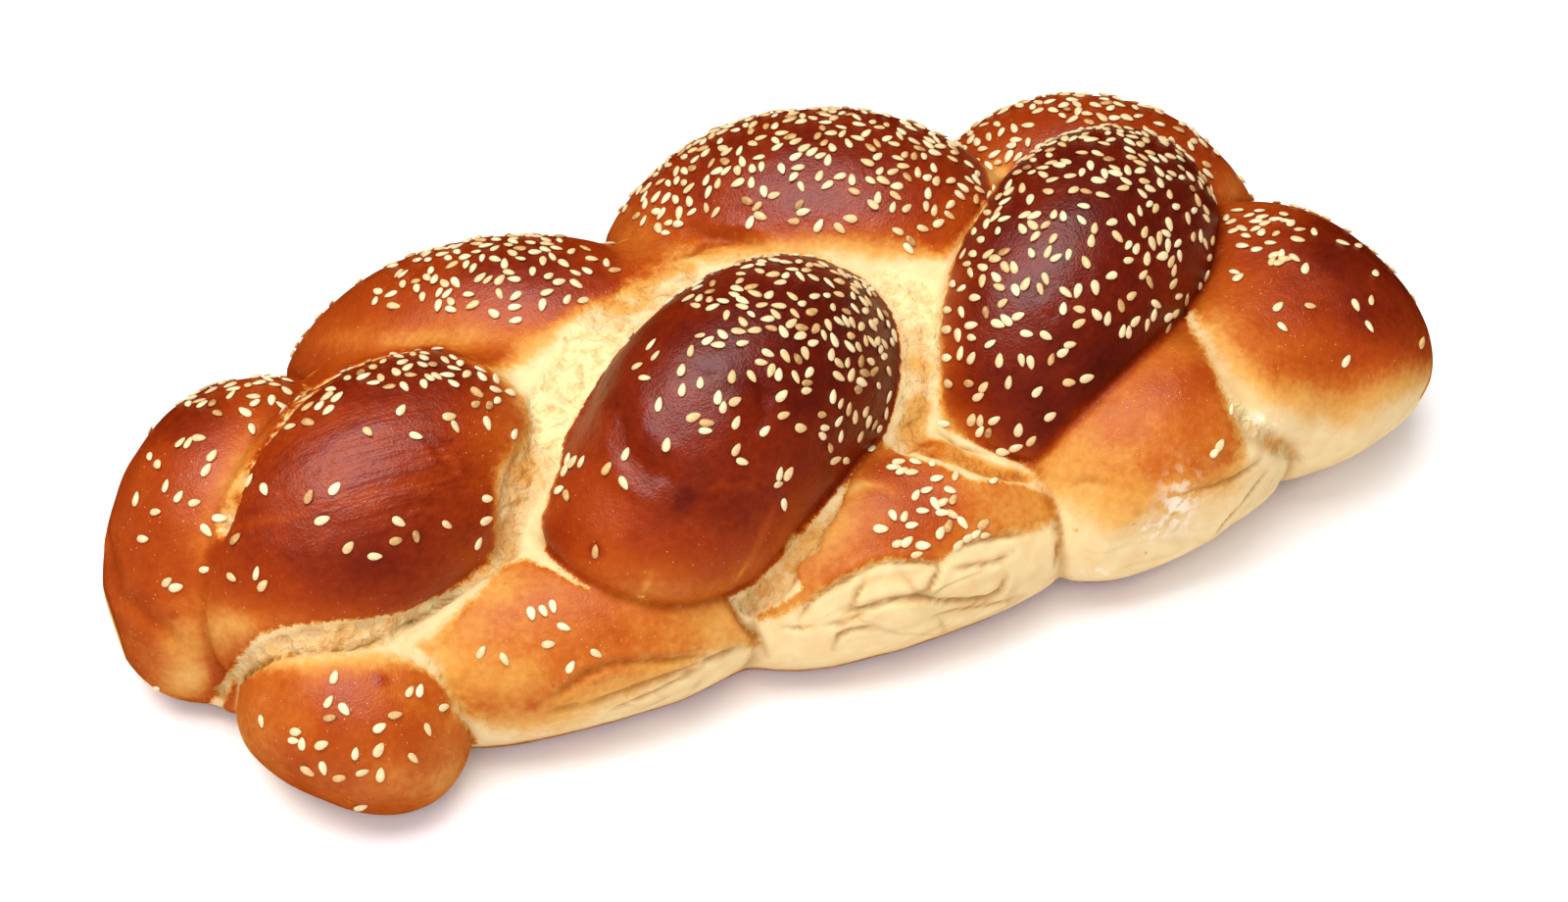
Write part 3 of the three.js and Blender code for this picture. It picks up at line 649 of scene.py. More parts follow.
# Painted glint specks, bright dots that stand in for sparkles of light: their colour and strength
PAINTED_GLINT = (236, 200, 146)
PAINTED_GLINTS = 0.85
SEED_PALE = (229, 210, 169)
SEED_TOASTED = (200, 158, 98)
SEED_BROWN = (131, 80, 38)
FLOOR = (245, 242, 244)

# How toasted seeds are, and the share of each kind
SEED_TONES = (0.1, 0.32, 0.64)
SEED_SHARES = (0.52, 0.37, 0.11)
# How much a seed's tone strays, how much more toasted it is on a browner crust, from which browning,
# and how much browner its tip is
TONE_STRAY = (-0.08, 0.12)
TONE_OF_CRUST = 0.3
TONE_CRUST = 0.6
TONE_TIP = 0.35

# The materials' noises: how fine each is, and how detailed
NOISES = {
    "edge": (700, 4),
    "edge grain": (2600, 2),
    "mottle": (110, 4),
    "fine mottle": (700, 4),
    "streaks": (950, 4),
    "dough": (240, 5),
    "hollows": (430, 5),
    "veins": (105, 1),
    "flour": (480, 6),
    "leather": (1900, 4),
    "ripples": (420, 4),
    "pores": (600, 6),
    "seed": (1200, 2),
}
# The materials' round spots: how fine their grid is, their radius as a part of a cell, and the share
# of cells that have one
SPECKS = {
    "freckles": (210, 0.11, 0.4),
    "painted_glints": (820, 0.1, 0.65),
    "holes": (380, 0.3, 0.3),
}
# How much longer streaks and veins are than wide
STREAK_STRETCH = 16
VEIN_STRETCH = 1.8

# Half the floor's width, in mm
FLOOR_HALF = 3000

# The light, in metres and watts
SKY = 0.48
SOFTBOX_PLACE = (-0.2, 0.1, 1.1)
SOFTBOX_SIZE = (0.85, 1.1)
SOFTBOX_POWER = 16.8
FILL_PLACE = (-0.6, -1.15, 0.95)
FILL_SIZE = (1.6, 1.2)
FILL_POWER = 14.4


def linear(colour):
    """An sRGB colour of 0 to 255 as the linear RGBA that a shader takes."""
    parts = [v / 255 for v in colour]
    return (*[v / 12.92 if v <= 0.04045 else ((v + 0.055) / 1.055) ** 2.4 for v in parts], 1)


def smooth(value, low, high):
    """0 below low, 1 above high, and eased between."""
    t = np.clip((value - low) / (high - low), 0, 1)
    return t * t * (3 - 2 * t)


# The random numbers that the noise runs between, and how far they are shifted off the origin
LATTICE_SIZE = 32
LATTICE_SHIFT = 0.37
LATTICE = np.random.default_rng(7).random((LATTICE_SIZE, LATTICE_SIZE, LATTICE_SIZE)) * 2 - 1


def noise(points, size):
    """Smooth noise from -1 to 1 whose bumps are about size mm across."""
    place = points / size + LATTICE_SHIFT
    cell = np.floor(place).astype(int)
    part = place - cell
    part = part * part * (3 - 2 * part)
    total = np.zeros(len(points))
    for i in (0, 1):
        for j in (0, 1):
            for k in (0, 1):
                share = np.prod(np.where((i, j, k), part, 1 - part), axis=1)
                x, y, z = ((cell + (i, j, k)) % LATTICE_SIZE).T
                total += share * LATTICE[x, y, z]
    return total


def layered(points, layers):
    """Noise in layers, each with its height and how wide its bumps are."""
    return sum(height * noise(points, size) for height, size in layers)


def camera_axes():
    """The camera's place in mm, and its ways right, up and forward as rows."""
    azimuth, elevation = math.radians(CAMERA_AZIMUTH), math.radians(CAMERA_ELEVATION)
    flat = math.cos(elevation)
    back = np.array([math.sin(azimuth) * flat, -math.cos(azimuth) * flat, math.sin(elevation)])
    right = np.array([math.cos(azimuth), math.sin(azimuth), 0])
    place = np.array(CAMERA_TARGET) + back * CAMERA_DISTANCE
    return place, np.stack([right, np.cross(back, right), -back])


EYE, EYE_AXES = camera_axes()
PIXELS_AT_ONE = LENS / SENSOR * PHOTO_WIDTH


def pixels_of(points):
    """The pixel of the photograph that each point shows at."""
    x, y, depth = ((points - EYE) @ EYE_AXES.T).T
    across = PHOTO_WIDTH / 2 + x / depth * PIXELS_AT_ONE
    down = PHOTO_HEIGHT / 2 - y / depth * PIXELS_AT_ONE
    return np.stack([across, down], 1)


def sight_through(pixel):
    """The way from the camera through a pixel."""
    across = (pixel[0] - PHOTO_WIDTH / 2) / PIXELS_AT_ONE
    up = (PHOTO_HEIGHT / 2 - pixel[1]) / PIXELS_AT_ONE
    way = np.array([across, up, 1]) @ EYE_AXES
    return way / np.linalg.norm(way)


def own_axes(lobe):
    """A lobe's own axes as rows: along it, across it and up."""
    heading, tilt = np.radians(lobe[2]), np.radians(lobe[3])
    turn = np.array([
        [np.cos(heading), -np.sin(heading), 0],
        [np.sin(heading), np.cos(heading), 0],
        [0, 0, 1],
    ])
    lean = np.array([[np.cos(tilt), 0, -np.sin(tilt)], [0, 1, 0], [np.sin(tilt), 0, np.cos(tilt)]])
    return (turn @ lean).T


def lobe_distance(lobe, points):
    """About how far each point is outside a lobe, in mm."""
    middle, size, _, _, droop, taper = lobe
    length, width, height = (v / 2 for v in size)
    x, y, z = ((points - np.array(middle)) @ own_axes(lobe).T).T
    s = x / length
    wide = 1 + taper * np.clip(s, -TAPER_REACH, TAPER_REACH)
    across = y / (width * wide)
    up = (z + droop * s * s) / (height * wide)
    k = np.sqrt(np.abs(s) ** FULLNESS + across * across + up * up) + TINY
    slope_s = FULLNESS / 2 * np.abs(s) ** (FULLNESS - 1) / length
    slope_up = up / (height * wide)
    bend = 2 * droop * s / length * slope_up
    slope_across = across / (width * wide)
    slope = np.sqrt((slope_s * np.sign(s) + bend) ** 2 + slope_across**2 + slope_up**2) + TINY
    return k * (k - 1) / slope


def softer(a, b, k):
    """The lesser of two distances, rounded off over k."""
    h = np.clip(0.5 + 0.5 * (b - a) / k, 0, 1)
    return b + (a - b) * h - k * h * (1 - h)


def settled(points):
    """Points moved up near the floor, which makes the loaf fuller there."""
    high = np.clip(points[:, 2] / SETTLED_BELOW, 0, 1)
    return points + np.outer(SETTLED * (1 - high) ** 2, (0, 0, 1))


def full_distance(name, points):
    """About how far each point is outside a lobe with its bulge."""
    distance = lobe_distance(LOBES[name], points)
    if name in BULGES:
        distance = softer(distance, lobe_distance(BULGES[name], points), BULGE_SOFTNESS)
    return distance


def loaf_distance(points):
    """About how far each point is outside the loaf."""
    crease = np.full(len(points), CREASE)
    for middle, reach, softness in SOFT_SPOTS:
        away = ((points - middle) ** 2).sum(1)
        crease += (softness - CREASE) * np.exp(-away / reach**2)
    total = None
    raised = settled(points)
    for name in LOBES:
        d = full_distance(name, raised)
        total = d if total is None else softer(total, d, crease)
    return np.maximum(total, -points[:, 2])


def surface_net(values, origin, step):
    """Vertices and quads of the surface where a grid of values is 0."""
    inside = values < 0
    shape = np.array(values.shape) - 1

    def corner(a, i, j, k):
        return a[i : shape[0] + i, j : shape[1] + j, k : shape[2] + k]

    places = [(i, j, k) for i in (0, 1) for j in (0, 1) for k in (0, 1)]
    count = sum(corner(inside, *p).astype(np.int8) for p in places)
    cells = np.argwhere((count > 0) & (count < 8))
    number = np.full(tuple(shape), -1)
    number[tuple(cells.T)] = np.arange(len(cells))
    total = np.zeros((len(cells), 3))
    crossings = np.zeros(len(cells))
    for p in places:
        for axis in range(3):
            if p[axis]:
                continue
            q = list(p)
            q[axis] = 1
            a = values[tuple((cells + p).T)]
            b = values[tuple((cells + q).T)]
            cut = (a < 0) != (b < 0)
            share = np.where(cut, a / np.where(cut, a - b, 1), 0)
            place = np.array(p, float) + np.zeros((len(cells), 3))
            place[:, axis] += share
            total += place * cut[:, None]
            crossings += cut
    vertices = (cells + total / crossings[:, None]) * step + origin
    quads = []
    for axis in range(3):
        u, v = (axis + 1) % 3, (axis + 2) % 3
        low = [slice(1, n) for n in shape]
        high = list(low)
        low[axis] = slice(0, shape[axis])
        high[axis] = slice(1, shape[axis] + 1)
        a = inside[tuple(low)]
        b = inside[tuple(high)]
        at = np.argwhere(a != b)
        leaving = a[tuple(at.T)]
        start = np.ones(3, int)
        start[axis] = 0
        at = at + start
        corners = []
        for du, dv in ((0, 0), (1, 0), (1, 1), (0, 1)):
            cell = at.copy()
            cell[:, u] -= du
            cell[:, v] -= dv
            corners.append(number[tuple(cell.T)])
        face = np.stack(corners, 1)
        face[~leaving] = face[~leaving][:, ::-1]
        quads.append(face)
    return vertices, np.concatenate(quads)


def slopes(points, reach=0.05):
    """The loaf's distance at each point, and which way it grows."""
    here = loaf_distance(points)
    grown = [loaf_distance(points + reach * np.eye(3)[axis]) for axis in range(3)]
    return here, (np.stack(grown, 1) - here[:, None]) / reach


def in_parts(points):
    """The distance at many points, worked out some at a time."""
    out = np.empty(len(points))
    for start in range(0, len(points), POINTS_AT_ONCE):
        part = slice(start, start + POINTS_AT_ONCE)
        out[part] = loaf_distance(points[part])
    return out


def plain_loaf():
    """The loaf's vertices in mm and its quads, before any relief."""
    low = np.array(GRID_LOW) - MARGIN
    high = np.array(GRID_HIGH) + MARGIN
    wide = STEP * COARSE_STEPS
    counts = np.ceil((high - low) / wide).astype(int) + 1
    sides = [low[i] + wide * (np.arange(counts[i]) + 0.5) for i in range(3)]
    coarse = np.stack(np.meshgrid(*sides, indexing="ij"), -1)
    values = in_parts(coarse.reshape(-1, 3)).reshape(tuple(counts))
    for axis in range(3):
        values = np.repeat(values, COARSE_STEPS, axis)
    near = np.argwhere(np.abs(values) < 2 * wide)
    places = low + STEP * (near + 0.5)
    values[tuple(near.T)] = in_parts(places)
    vertices, quads = surface_net(values, low + STEP / 2, STEP)
    for _ in range(SETTLING_ROUNDS):
        d, slope = slopes(vertices)
        move = -d / np.maximum((slope**2).sum(1), 0.2)
        vertices = vertices + slope * np.clip(move, -SETTLING_MOVE, SETTLING_MOVE)[:, None]
    vertices[:, 2] = np.maximum(vertices[:, 2], 0)
    return vertices, quads


def link(name, vertices, faces, material=None):
    """A smooth mesh object from vertices in mm."""
    mesh = bpy.data.meshes.new(name)
    mesh.from_pydata((np.asarray(vertices) * MM).tolist(), [], faces)
    mesh.shade_smooth()
    if material:
        mesh.materials.append(material)
    made = bpy.data.objects.new(name, mesh)
    bpy.context.scene.collection.objects.link(made)
    return made


def read_mesh(mesh):
    """A mesh's vertices in mm, and its faces as lists."""
    vertices = np.empty(len(mesh.vertices) * 3)
    mesh.vertices.foreach_get("co", vertices)
    corners = np.empty(len(mesh.loops), int)
    mesh.loops.foreach_get("vertex_index", corners)
    starts = np.empty(len(mesh.polygons), int)
    mesh.polygons.foreach_get("loop_start", starts)
    faces = [part.tolist() for part in np.split(corners, starts[1:])]
    return vertices.reshape(-1, 3) / MM, faces


def thinned(vertices, quads):
    """The loaf with the faces that the camera doesn't see made fewer."""
    _, way = slopes(vertices)
    facing = (way * (EYE - vertices)).sum(1)
    spare = (facing < TURNED_AWAY) | (vertices[:, 2] < 0.01)
    hidden_faces = spare[quads].all(1).sum()
    made = link("plain", vertices, quads.tolist())
    group = made.vertex_groups.new(name="spare")
    group.add(np.nonzero(spare)[0].tolist(), 1.0, "REPLACE")
    fewer = made.modifiers.new("fewer", "DECIMATE")
    fewer.vertex_group = "spare"
    fewer.vertex_group_factor = 100
    fewer.ratio = 1 - (1 - HIDDEN_KEPT) * hidden_faces / len(quads)
    ready = made.evaluated_get(bpy.context.evaluated_depsgraph_get())
    out = read_mesh(ready.to_mesh())
    ready.to_mesh_clear()
    bpy.data.meshes.remove(made.data)
    return out


def line_gap(points, line, widths):
    """How far each point is from a line of points, and the line's width there."""
    best = np.full(len(points), 1e9)
    width = np.zeros(len(points))
    for a, b, wide_a, wide_b in zip(line[:-1], line[1:], widths[:-1], widths[1:]):
        along = b - a
        t = np.clip((points - a) @ along / (along @ along), 0, 1)
        gap = np.linalg.norm(points - a - t[:, None] * along, axis=1)
        nearer = gap < best
        best[nearer] = gap[nearer]
        width[nearer] = (wide_a + t * (wide_b - wide_a))[nearer]
    return best, width


def inside_outline(pixels, corners):
    """Whether each pixel is inside a closed outline."""
    inside = np.zeros(len(pixels), bool)
    x, y = pixels.T
    for a, b in zip(corners, np.roll(corners, -1, 0)):
        crosses = (a[1] > y) != (b[1] > y)
        at = a[0] + (b[0] - a[0]) * (y - a[1]) / (b[1] - a[1] + 1e-9)
        inside ^= crosses & (x < at)
    return inside


def reach_in(pixels, outline):
    """How many pixels each pixel is inside an outline, and the fade of the edge nearest to it."""
    closed = np.array([*outline, outline[0]], float)
    gap, fade = line_gap(pixels, closed[:, :2], closed[:, 2])
    return np.where(inside_outline(pixels, closed[:-1, :2]), gap, -gap), fade


def patch_gap(pixels, x, y, across, down):
    """How far each pixel is from a patch's middle, squared, where 1 is the patch's reach."""
    return ((pixels[:, 0] - x) / across) ** 2 + ((pixels[:, 1] - y) / down) ** 2


def shown_browning(pixels, points, gaps):
    """How brown the crust shows, where it starts (0) and is full (1), and how ragged its edge is."""
    fine, broad = (depth * noise(points, size) for depth, size in (FINE_WANDER, BROAD_WANDER))
    total, weight = np.zeros(len(pixels)), np.full(len(pixels), 1e-9)
    edge = np.full(len(pixels), -1.0)
    rough = np.full(len(pixels), 0.1)
    nearest = np.min(list(gaps.values()), 0)
    for name, (base, outline, patches) in CRUSTS.items():
        corners = np.array(outline)[:, :2]
        low, high = corners.min(0) - OUTLINE_REACH, corners.max(0) + OUTLINE_REACH
        at = ((pixels > low) & (pixels < high)).all(1)
        reach, fade = reach_in(pixels[at], outline)
        reach = reach + fine[at] + fade * broad[at]
        level = np.full(at.sum(), base)
        for *patch, change in patches:
            level += change * np.exp(-patch_gap(pixels[at], *patch))
        near = smooth(OVERLAP + nearest[at] - gaps[name][at], 0, OVERLAP_FADE)
        share = smooth(reach, -2, 2) * (0.03 + near) + 1e-4 * smooth(reach, -OUTLINE_REACH, 0)
        total[at] += share * level
        weight[at] += share
        own = (reach / fade + EDGE_START) / (1 + EDGE_START)
        if name in WHOLE_CRESTS:
            own = np.minimum(own, (CREST_END - gaps[name][at]) / CREST_FADE)
        rough[at] = np.where(own > edge[at], np.clip(4 / fade, 0.04, 1), rough[at])
        edge[at] = np.maximum(edge[at], own)
    return total / weight, np.clip(edge, -1, 2), rough


def shown_tears(pixels):
    """Where the photograph shows torn crumb, how deep it lies and how much colour it caught."""
    torn, depth, level = (np.zeros(len(pixels)) for _ in range(3))
    for deep, colour, line in TEARS:
        line = np.array(line, float)
        gap, half = line_gap(pixels, line[:, :2], line[:, 2])
        share = smooth(half - gap, -3, 4)
        level = np.where(share > torn, colour, level)
        torn = np.maximum(torn, share)
        depth = np.maximum(depth, share * deep)
    return torn, depth, level


def crumb_browning(pixels, points, level):
    """How much colour the torn crumb caught."""
    level = level + 0.04 * noise(points, 5) + 0.03 * noise(points, 1.8)
    for *patch, change in TOASTED_CRUMB:
        level += change * np.exp(-patch_gap(pixels, *patch)) * (1 + 0.7 * noise(points, 2.5))
    return np.clip(level, 0, 1)


def hidden_look(points, way, gaps):
    """Browning, crust edge and tears where the photograph shows nothing: brown tops, pale feet."""
    owner = np.argmin(np.stack(list(gaps.values())), 0)
    nearest = np.sort(np.stack(list(gaps.values())), 0)
    levels = {name: PALE + BACK_BROWNING * name.startswith("back") for name in LOBES}
    levels.update({name: crust[0] for name, crust in CRUSTS.items()})
    base = np.array([levels[name] for name in LOBE_NAMES])[owner]
    height = smooth(points[:, 2] + 2.5 * noise(points, 14), *BROWN_HEIGHTS)
    brown = base * (0.45 + 0.55 * smooth(way[:, 2], -0.3, 0.7)) * height
    valley = (nearest[1] + 0.9 * noise(points, 4) - 0.8) / 2.7
    edge = np.where(base > 0.2, np.minimum(valley, (points[:, 2] - 9) / 5), -1)
    low = points[:, 2] + 1.5 * noise(points, 9)
    brown = np.maximum(brown, BAKED_BASE * (1 - smooth(low, *BASE_HEIGHTS)))
    edge = np.maximum(edge, (4.5 - low) / 2)
    torn = 1 - smooth(nearest[1] + 0.9 * noise(points, 3), *TORN_GAPS)
    torn *= smooth(points[:, 2], *TORN_HEIGHTS)
    return brown, np.clip(edge, -1, 2), torn


def seen_by_camera(vertices, way, tree):
    """1 for each vertex that the camera sees and 0 for the rest."""
    seen = np.zeros(len(vertices))
    towards = EYE - vertices
    towards /= np.linalg.norm(towards, axis=1)[:, None]
    for i in np.nonzero((way * towards).sum(1) > FACING)[0]:
        start = Vector(vertices[i] + way[i] * SIGHT_START)
        seen[i] = tree.ray_cast(start, Vector(towards[i]), SIGHT_REACH)[0] is None
    return seen


def spread(values, faces, rounds):
    """Values evened out between neighbouring vertices."""
    corners = np.concatenate([np.array(f) for f in faces])
    sizes = np.array([len(f) for f in faces])
    face_of = np.repeat(np.arange(len(faces)), sizes)
    touching = np.bincount(corners, minlength=len(values))
    for _ in range(rounds):
        face_mean = np.bincount(face_of, values[corners]) / sizes
        values = np.bincount(corners, face_mean[face_of], minlength=len(values)) / np.maximum(touching, 1)
    return values


def on_loaf(pixel, tree):
    """The point of the loaf that a pixel shows, and the way out there, or None."""
    point, normal, _, _ = tree.ray_cast(Vector(EYE), Vector(sight_through(pixel)), CAMERA_REACH)
    return (np.array(point), np.array(normal)) if point else None


def line_on_loaf(pixels, tree):
    """A line of pixels as close points on the loaf."""
    out = []
    for a, b in zip(pixels[:-1], pixels[1:]):
        count = max(1, round(math.dist(a, b) / LINE_STEP))
        for i in range(count + (b is pixels[-1])):
            t = i / count
            found = on_loaf((a[0] + t * (b[0] - a[0]), a[1] + t * (b[1] - a[1])), tree)
            if found:
                out.append(found[0])
    return np.array(out)


def fold_relief(vertices, tree):
    """How far the creases push each vertex out, and how much painted shade it gets at a crease's bottom.
    """
    out, inner = np.zeros(len(vertices)), np.zeros(len(vertices))
    for depth, half, pixels in FOLDS:
        line = line_on_loaf(pixels, tree)
        if len(line) < 2:
            continue
        near = ((vertices > line.min(0) - FOLD_REACH) & (vertices < line.max(0) + FOLD_REACH)).all(1)
        ends = np.minimum(np.arange(len(line)), np.arange(len(line))[::-1])
        strength = np.clip(FOLD_ENDS + FOLD_ENDS * ends, 0, 1)
        gap, strong = line_gap(vertices[near], line, strength)
        gap = gap + 0.35 * half * noise(vertices[near], 2.4)
        rim = FOLD_RIM * np.exp(-(((gap - FOLD_RIM_AT * half) / half) ** 2))
        out[near] -= depth * strong * (np.exp(-((gap / half) ** 2)) - rim)
        inner[near] = np.maximum(inner[near], strong * np.exp(-((1.4 * gap / half) ** 2)))
    return out, inner


def spot_browning(vertices, tree):
    """How much browner each vertex is for the scars and spots, and paler for the cracks."""
    out = np.zeros(len(vertices))
    for pixel, radius, _, change in SPOTS:
        away = np.linalg.norm(vertices - on_loaf(pixel, tree)[0], axis=1)
        away += 0.3 * radius * noise(vertices, 1.5)
        out += change * (1 - smooth(away, 0.7 * radius, 1.3 * radius))
    for change, pixels in CRACKS:
        line = line_on_loaf(pixels, tree)
        gap, _ = line_gap(vertices, line, np.ones(len(line)))
        out -= change * np.exp(-(((gap + 0.25 * noise(vertices, 1.6)) / 0.55) ** 2))
    return out


def valleys(vertices, gaps):
    """1 at the bottom of a crease between two lobes of the braid, and 0 away from it."""
    braid = np.sort(np.stack([gap for name, gap in gaps.items() if name not in ("sole", "crumb")]), 0)
    width = CREASE_WIDTH * (1 + 0.3 * noise(vertices, 3))
    out = np.exp(-((np.maximum(braid[1], 0) / width) ** 2)) * smooth(2 - braid[0], 0, 1)
    for middle, reach, _ in SOFT_SPOTS:
        out *= 1 - np.exp(-((vertices - middle) ** 2).sum(1) / reach**2)
    return out


def wrinkled(vertices, pixels, crust, seen):
    """How deep the wrinkles of the pale dough are in mm."""
    out = np.zeros(len(vertices))
    for pixel, reach, depth in WRINKLED:
        away = patch_gap(pixels, *pixel, *reach)
        out = np.maximum(out, depth * np.exp(-(away**2)))
    return out * seen * (1 - crust) * (0.55 + 0.45 * noise(vertices, 9))


def wrinkle_relief(vertices, depth):
    """How far the wrinkles push each vertex out, and how much painted shade it gets in one."""
    wander = layered(vertices, [WRINKLE_WANDER])
    place = vertices / WRINKLE_STRETCH + wander[:, None]
    lines = np.exp(-((noise(place, WRINKLE_APART) / WRINKLE_HALF) ** 2))
    return depth * (layered(place, [WRINKLE_SWELL]) - lines), depth * lines


def floured(pixels):
    """How much flour is left on each spot."""
    out = np.zeros(len(pixels))
    for pixel, reach in FLOURED:
        out = np.maximum(out, np.exp(-patch_gap(pixels, *pixel, *reach)))
    return out


def stretched(pixels):
    """How strongly the crust shows the lines of its stretching."""
    return np.exp(-patch_gap(pixels, *LINED["pixel"], *LINED["reach"]))


def stretch_lines(vertices, pixels):
    """The lines of the stretched crust, from about -1 to 1."""
    heading = math.radians(LINED["heading"])
    along = vertices @ (math.cos(heading), math.sin(heading), 0)
    across = vertices @ (-math.sin(heading), math.cos(heading), 0)
    own = np.stack([along / LINE_STRETCH, across, vertices[:, 2]], 1)
    return stretched(pixels) * layered(own, LINE_LAYERS)


def loaf_relief(vertices, pixels, seen, crust, torn, deep, creases, tree):
    """How far every vertex is pushed out along its slope, and how much painted shade it gets in creases.
    """
    out = layered(vertices, LOAF_LAYERS)
    out += torn * (layered(vertices, TORN_LAYERS) - deep)
    out += CRUST_LIP * (crust - 0.4)
    folded, inner = fold_relief(vertices, tree)
    wrinkles, wrinkle_shade = wrinkle_relief(vertices, wrinkled(vertices, pixels, crust, seen))
    out += folded + wrinkles
    out += LINED["depth"] * seen * stretch_lines(vertices, pixels)
    for pixel, radius, depth, _ in SPOTS:
        away = np.linalg.norm(vertices - on_loaf(pixel, tree)[0], axis=1)
        out -= depth * np.exp(-((away / radius) ** 2))
    creases = creases * (1 - 0.35 * torn)
    out -= CREASE_DEPTH * creases
    # Painted shade in folds, wrinkles and the creases between lobes, weaker on crust
    inner = inner * (1 - 0.6 * crust) + wrinkle_shade + 0.8 * creases
    return out * smooth(vertices[:, 2], *RELIEF_HEIGHTS), np.clip(inner, 0, 1)


def shape_loaf():
    """The finished loaf: vertices in mm, faces, what its material reads, what is seen, and its tree."""
    vertices, quads = plain_loaf()
    vertices, faces = thinned(vertices, quads)
    tree = BVHTree.FromPolygons(vertices.tolist(), faces)
    _, way = slopes(vertices)
    way /= np.linalg.norm(way, axis=1)[:, None]
    pixels = pixels_of(vertices)
    seen = spread(seen_by_camera(vertices, way, tree), faces, 2)
    gaps = {name: full_distance(name, settled(vertices)) for name in LOBES}
    brown, edge, ragged = shown_browning(pixels, vertices, gaps)
    brown += spot_browning(vertices, tree) + LINED["browning"] * stretch_lines(vertices, pixels)
    torn, deep, crumb_level = shown_tears(pixels)
    crumb_level = crumb_browning(pixels, vertices, spread(crumb_level, faces, 3))
    brown_hidden, edge_hidden, torn_hidden = hidden_look(vertices, way, gaps)
    brown = brown_hidden + (spread(brown, faces, 1) - brown_hidden) * seen
    edge = edge_hidden + (edge - edge_hidden) * seen
    torn = torn_hidden + (torn - torn_hidden) * seen
    deep = 0.6 * torn_hidden + (deep - 0.6 * torn_hidden) * seen
    pale = PALE + (crumb_level - PALE) * torn * seen
    crust = smooth(edge, 0, 1)
    deep = spread(deep * (1 - crust), faces, 2)
    creases = valleys(vertices, gaps)
    push, shade = loaf_relief(vertices, pixels, seen, crust, torn * (1 - crust), deep, creases, tree)
    vertices = vertices + way * push[:, None]
    low, high = (np.array(corner) / MM for corner in CAD_BOX)
    vertices = np.clip(vertices, low + (INSIDE, INSIDE, 0), high - INSIDE)
    looks = {
        "brown": brown,
        "edge": edge,
        "ragged": ragged,
        "pale": pale,
        "torn": torn,
        "pit_shade": deep,
        "shade": shade,
        "lined": stretched(pixels) * seen,
        "flour": floured(pixels) * seen,
        "wrinkled": wrinkled(vertices, pixels, crust, seen),
    }
    return vertices, faces, looks, seen, BVHTree.FromPolygons(vertices.tolist(), faces)


def seed_shape():
    """A seed's vertices about its middle, with its length along X, and its faces."""
    length, width, height = (v / 2 for v in SEED_SIZE)
    rings = []
    for i in range(1, SEED_RINGS):
        t = -math.cos(math.pi * i / SEED_RINGS)
        wide = math.sqrt(1 - t * t) * (1 - SEED_TIP * (0.5 + 0.5 * t) ** 1.5) * SEED_SWELL
        for j in range(SEED_SIDES):
            turn = 2 * math.pi * j / SEED_SIDES
            rings.append((length * t, width * wide * math.cos(turn), height * wide * math.sin(turn)))
    blunt, tip = len(rings), len(rings) + 1
    faces = []
    for j in range(SEED_SIDES):
        k = (j + 1) % SEED_SIDES
        for i in range(SEED_RINGS - 2):
            low, high = i * SEED_SIDES, (i + 1) * SEED_SIDES
            faces.append((low + j, low + k, high + k, high + j))
        last = (SEED_RINGS - 2) * SEED_SIDES
        faces.append((blunt, k, j))
        faces.append((tip, last + j, last + k))
    return np.array([*rings, (-length, 0, 0), (length, 0, 0)]), faces


def spots_on_faces(vertices, faces, count, rng):
    """Spots spread evenly over a mesh: point, way out and the face's first vertex, and its whole area."""
    fans = np.array([(f[0], f[i], f[i + 1]) for f in faces for i in range(1, len(f) - 1)])
    a, b, c = (vertices[fans[:, i]] for i in range(3))
    normal = np.cross(b - a, c - a)
    area = np.linalg.norm(normal, axis=1)
    pick = rng.choice(len(fans), count, p=area / area.sum())
    u, v = rng.random((2, count))
    over = u + v > 1
    u[over], v[over] = 1 - u[over], 1 - v[over]
    points = a[pick] + u[:, None] * (b - a)[pick] + v[:, None] * (c - a)[pick]
    return points, normal[pick] / area[pick, None], fans[pick, 0], area.sum() / 2


def flat_way(way, out):
    """A way laid flat on a surface."""
    flat = way - out * (way @ out)
    return flat / np.linalg.norm(flat)


def along_seed(point, way):
    """Three points along a seed."""
    return point + np.outer((-0.25, 0, 0.25), way) * SEED_SIZE[0]


def lone_seeds(tree):
    """The seeds that lie alone: point, way out, and the way that they point."""
    sight = EYE_AXES[2]
    spots = []
    for corner, zoom, seeds in LONE_SEEDS.values():
        for x, y, turn in seeds:
            found = on_loaf((corner[0] + x / zoom, corner[1] + y / zoom), tree)
            if not found:
                continue
            point, out = found
            turn = math.radians(turn)
            way = math.cos(turn) * EYE_AXES[0] + math.sin(turn) * EYE_AXES[1]
            slant = sight * (way @ out) / min(sight @ out, -0.2)
            spots.append((point, out, flat_way(way - slant, out)))
    return spots


def seeds_wanted(points, normals, shown):
    """How many seeds are wanted on a square millimetre at each point."""
    pixels = pixels_of(points)
    gaps = np.stack([full_distance(name, settled(points)) for name in LOBES])
    owner = np.array(LOBE_NAMES)[np.argmin(gaps, 0)]
    wanted = np.zeros(len(points))
    for name, pixel, reach, thick in SPRINKLES:
        away = np.linalg.norm((pixels - pixel) / reach, axis=1)
        inner = reach_in(pixels, CRUSTS[name][1])[0] > SEED_MARGIN
        here = (owner == name) * shown * inner
        wanted = np.maximum(wanted, thick * (1 - smooth(away, 0.7, 1.1)) * here)
    hidden = HIDDEN_SEEDS * np.isin(owner, SEEDED_LOBES) * smooth(normals[:, 2], 0.25, 0.7) * ~shown
    return np.maximum(wanted, hidden) / 100


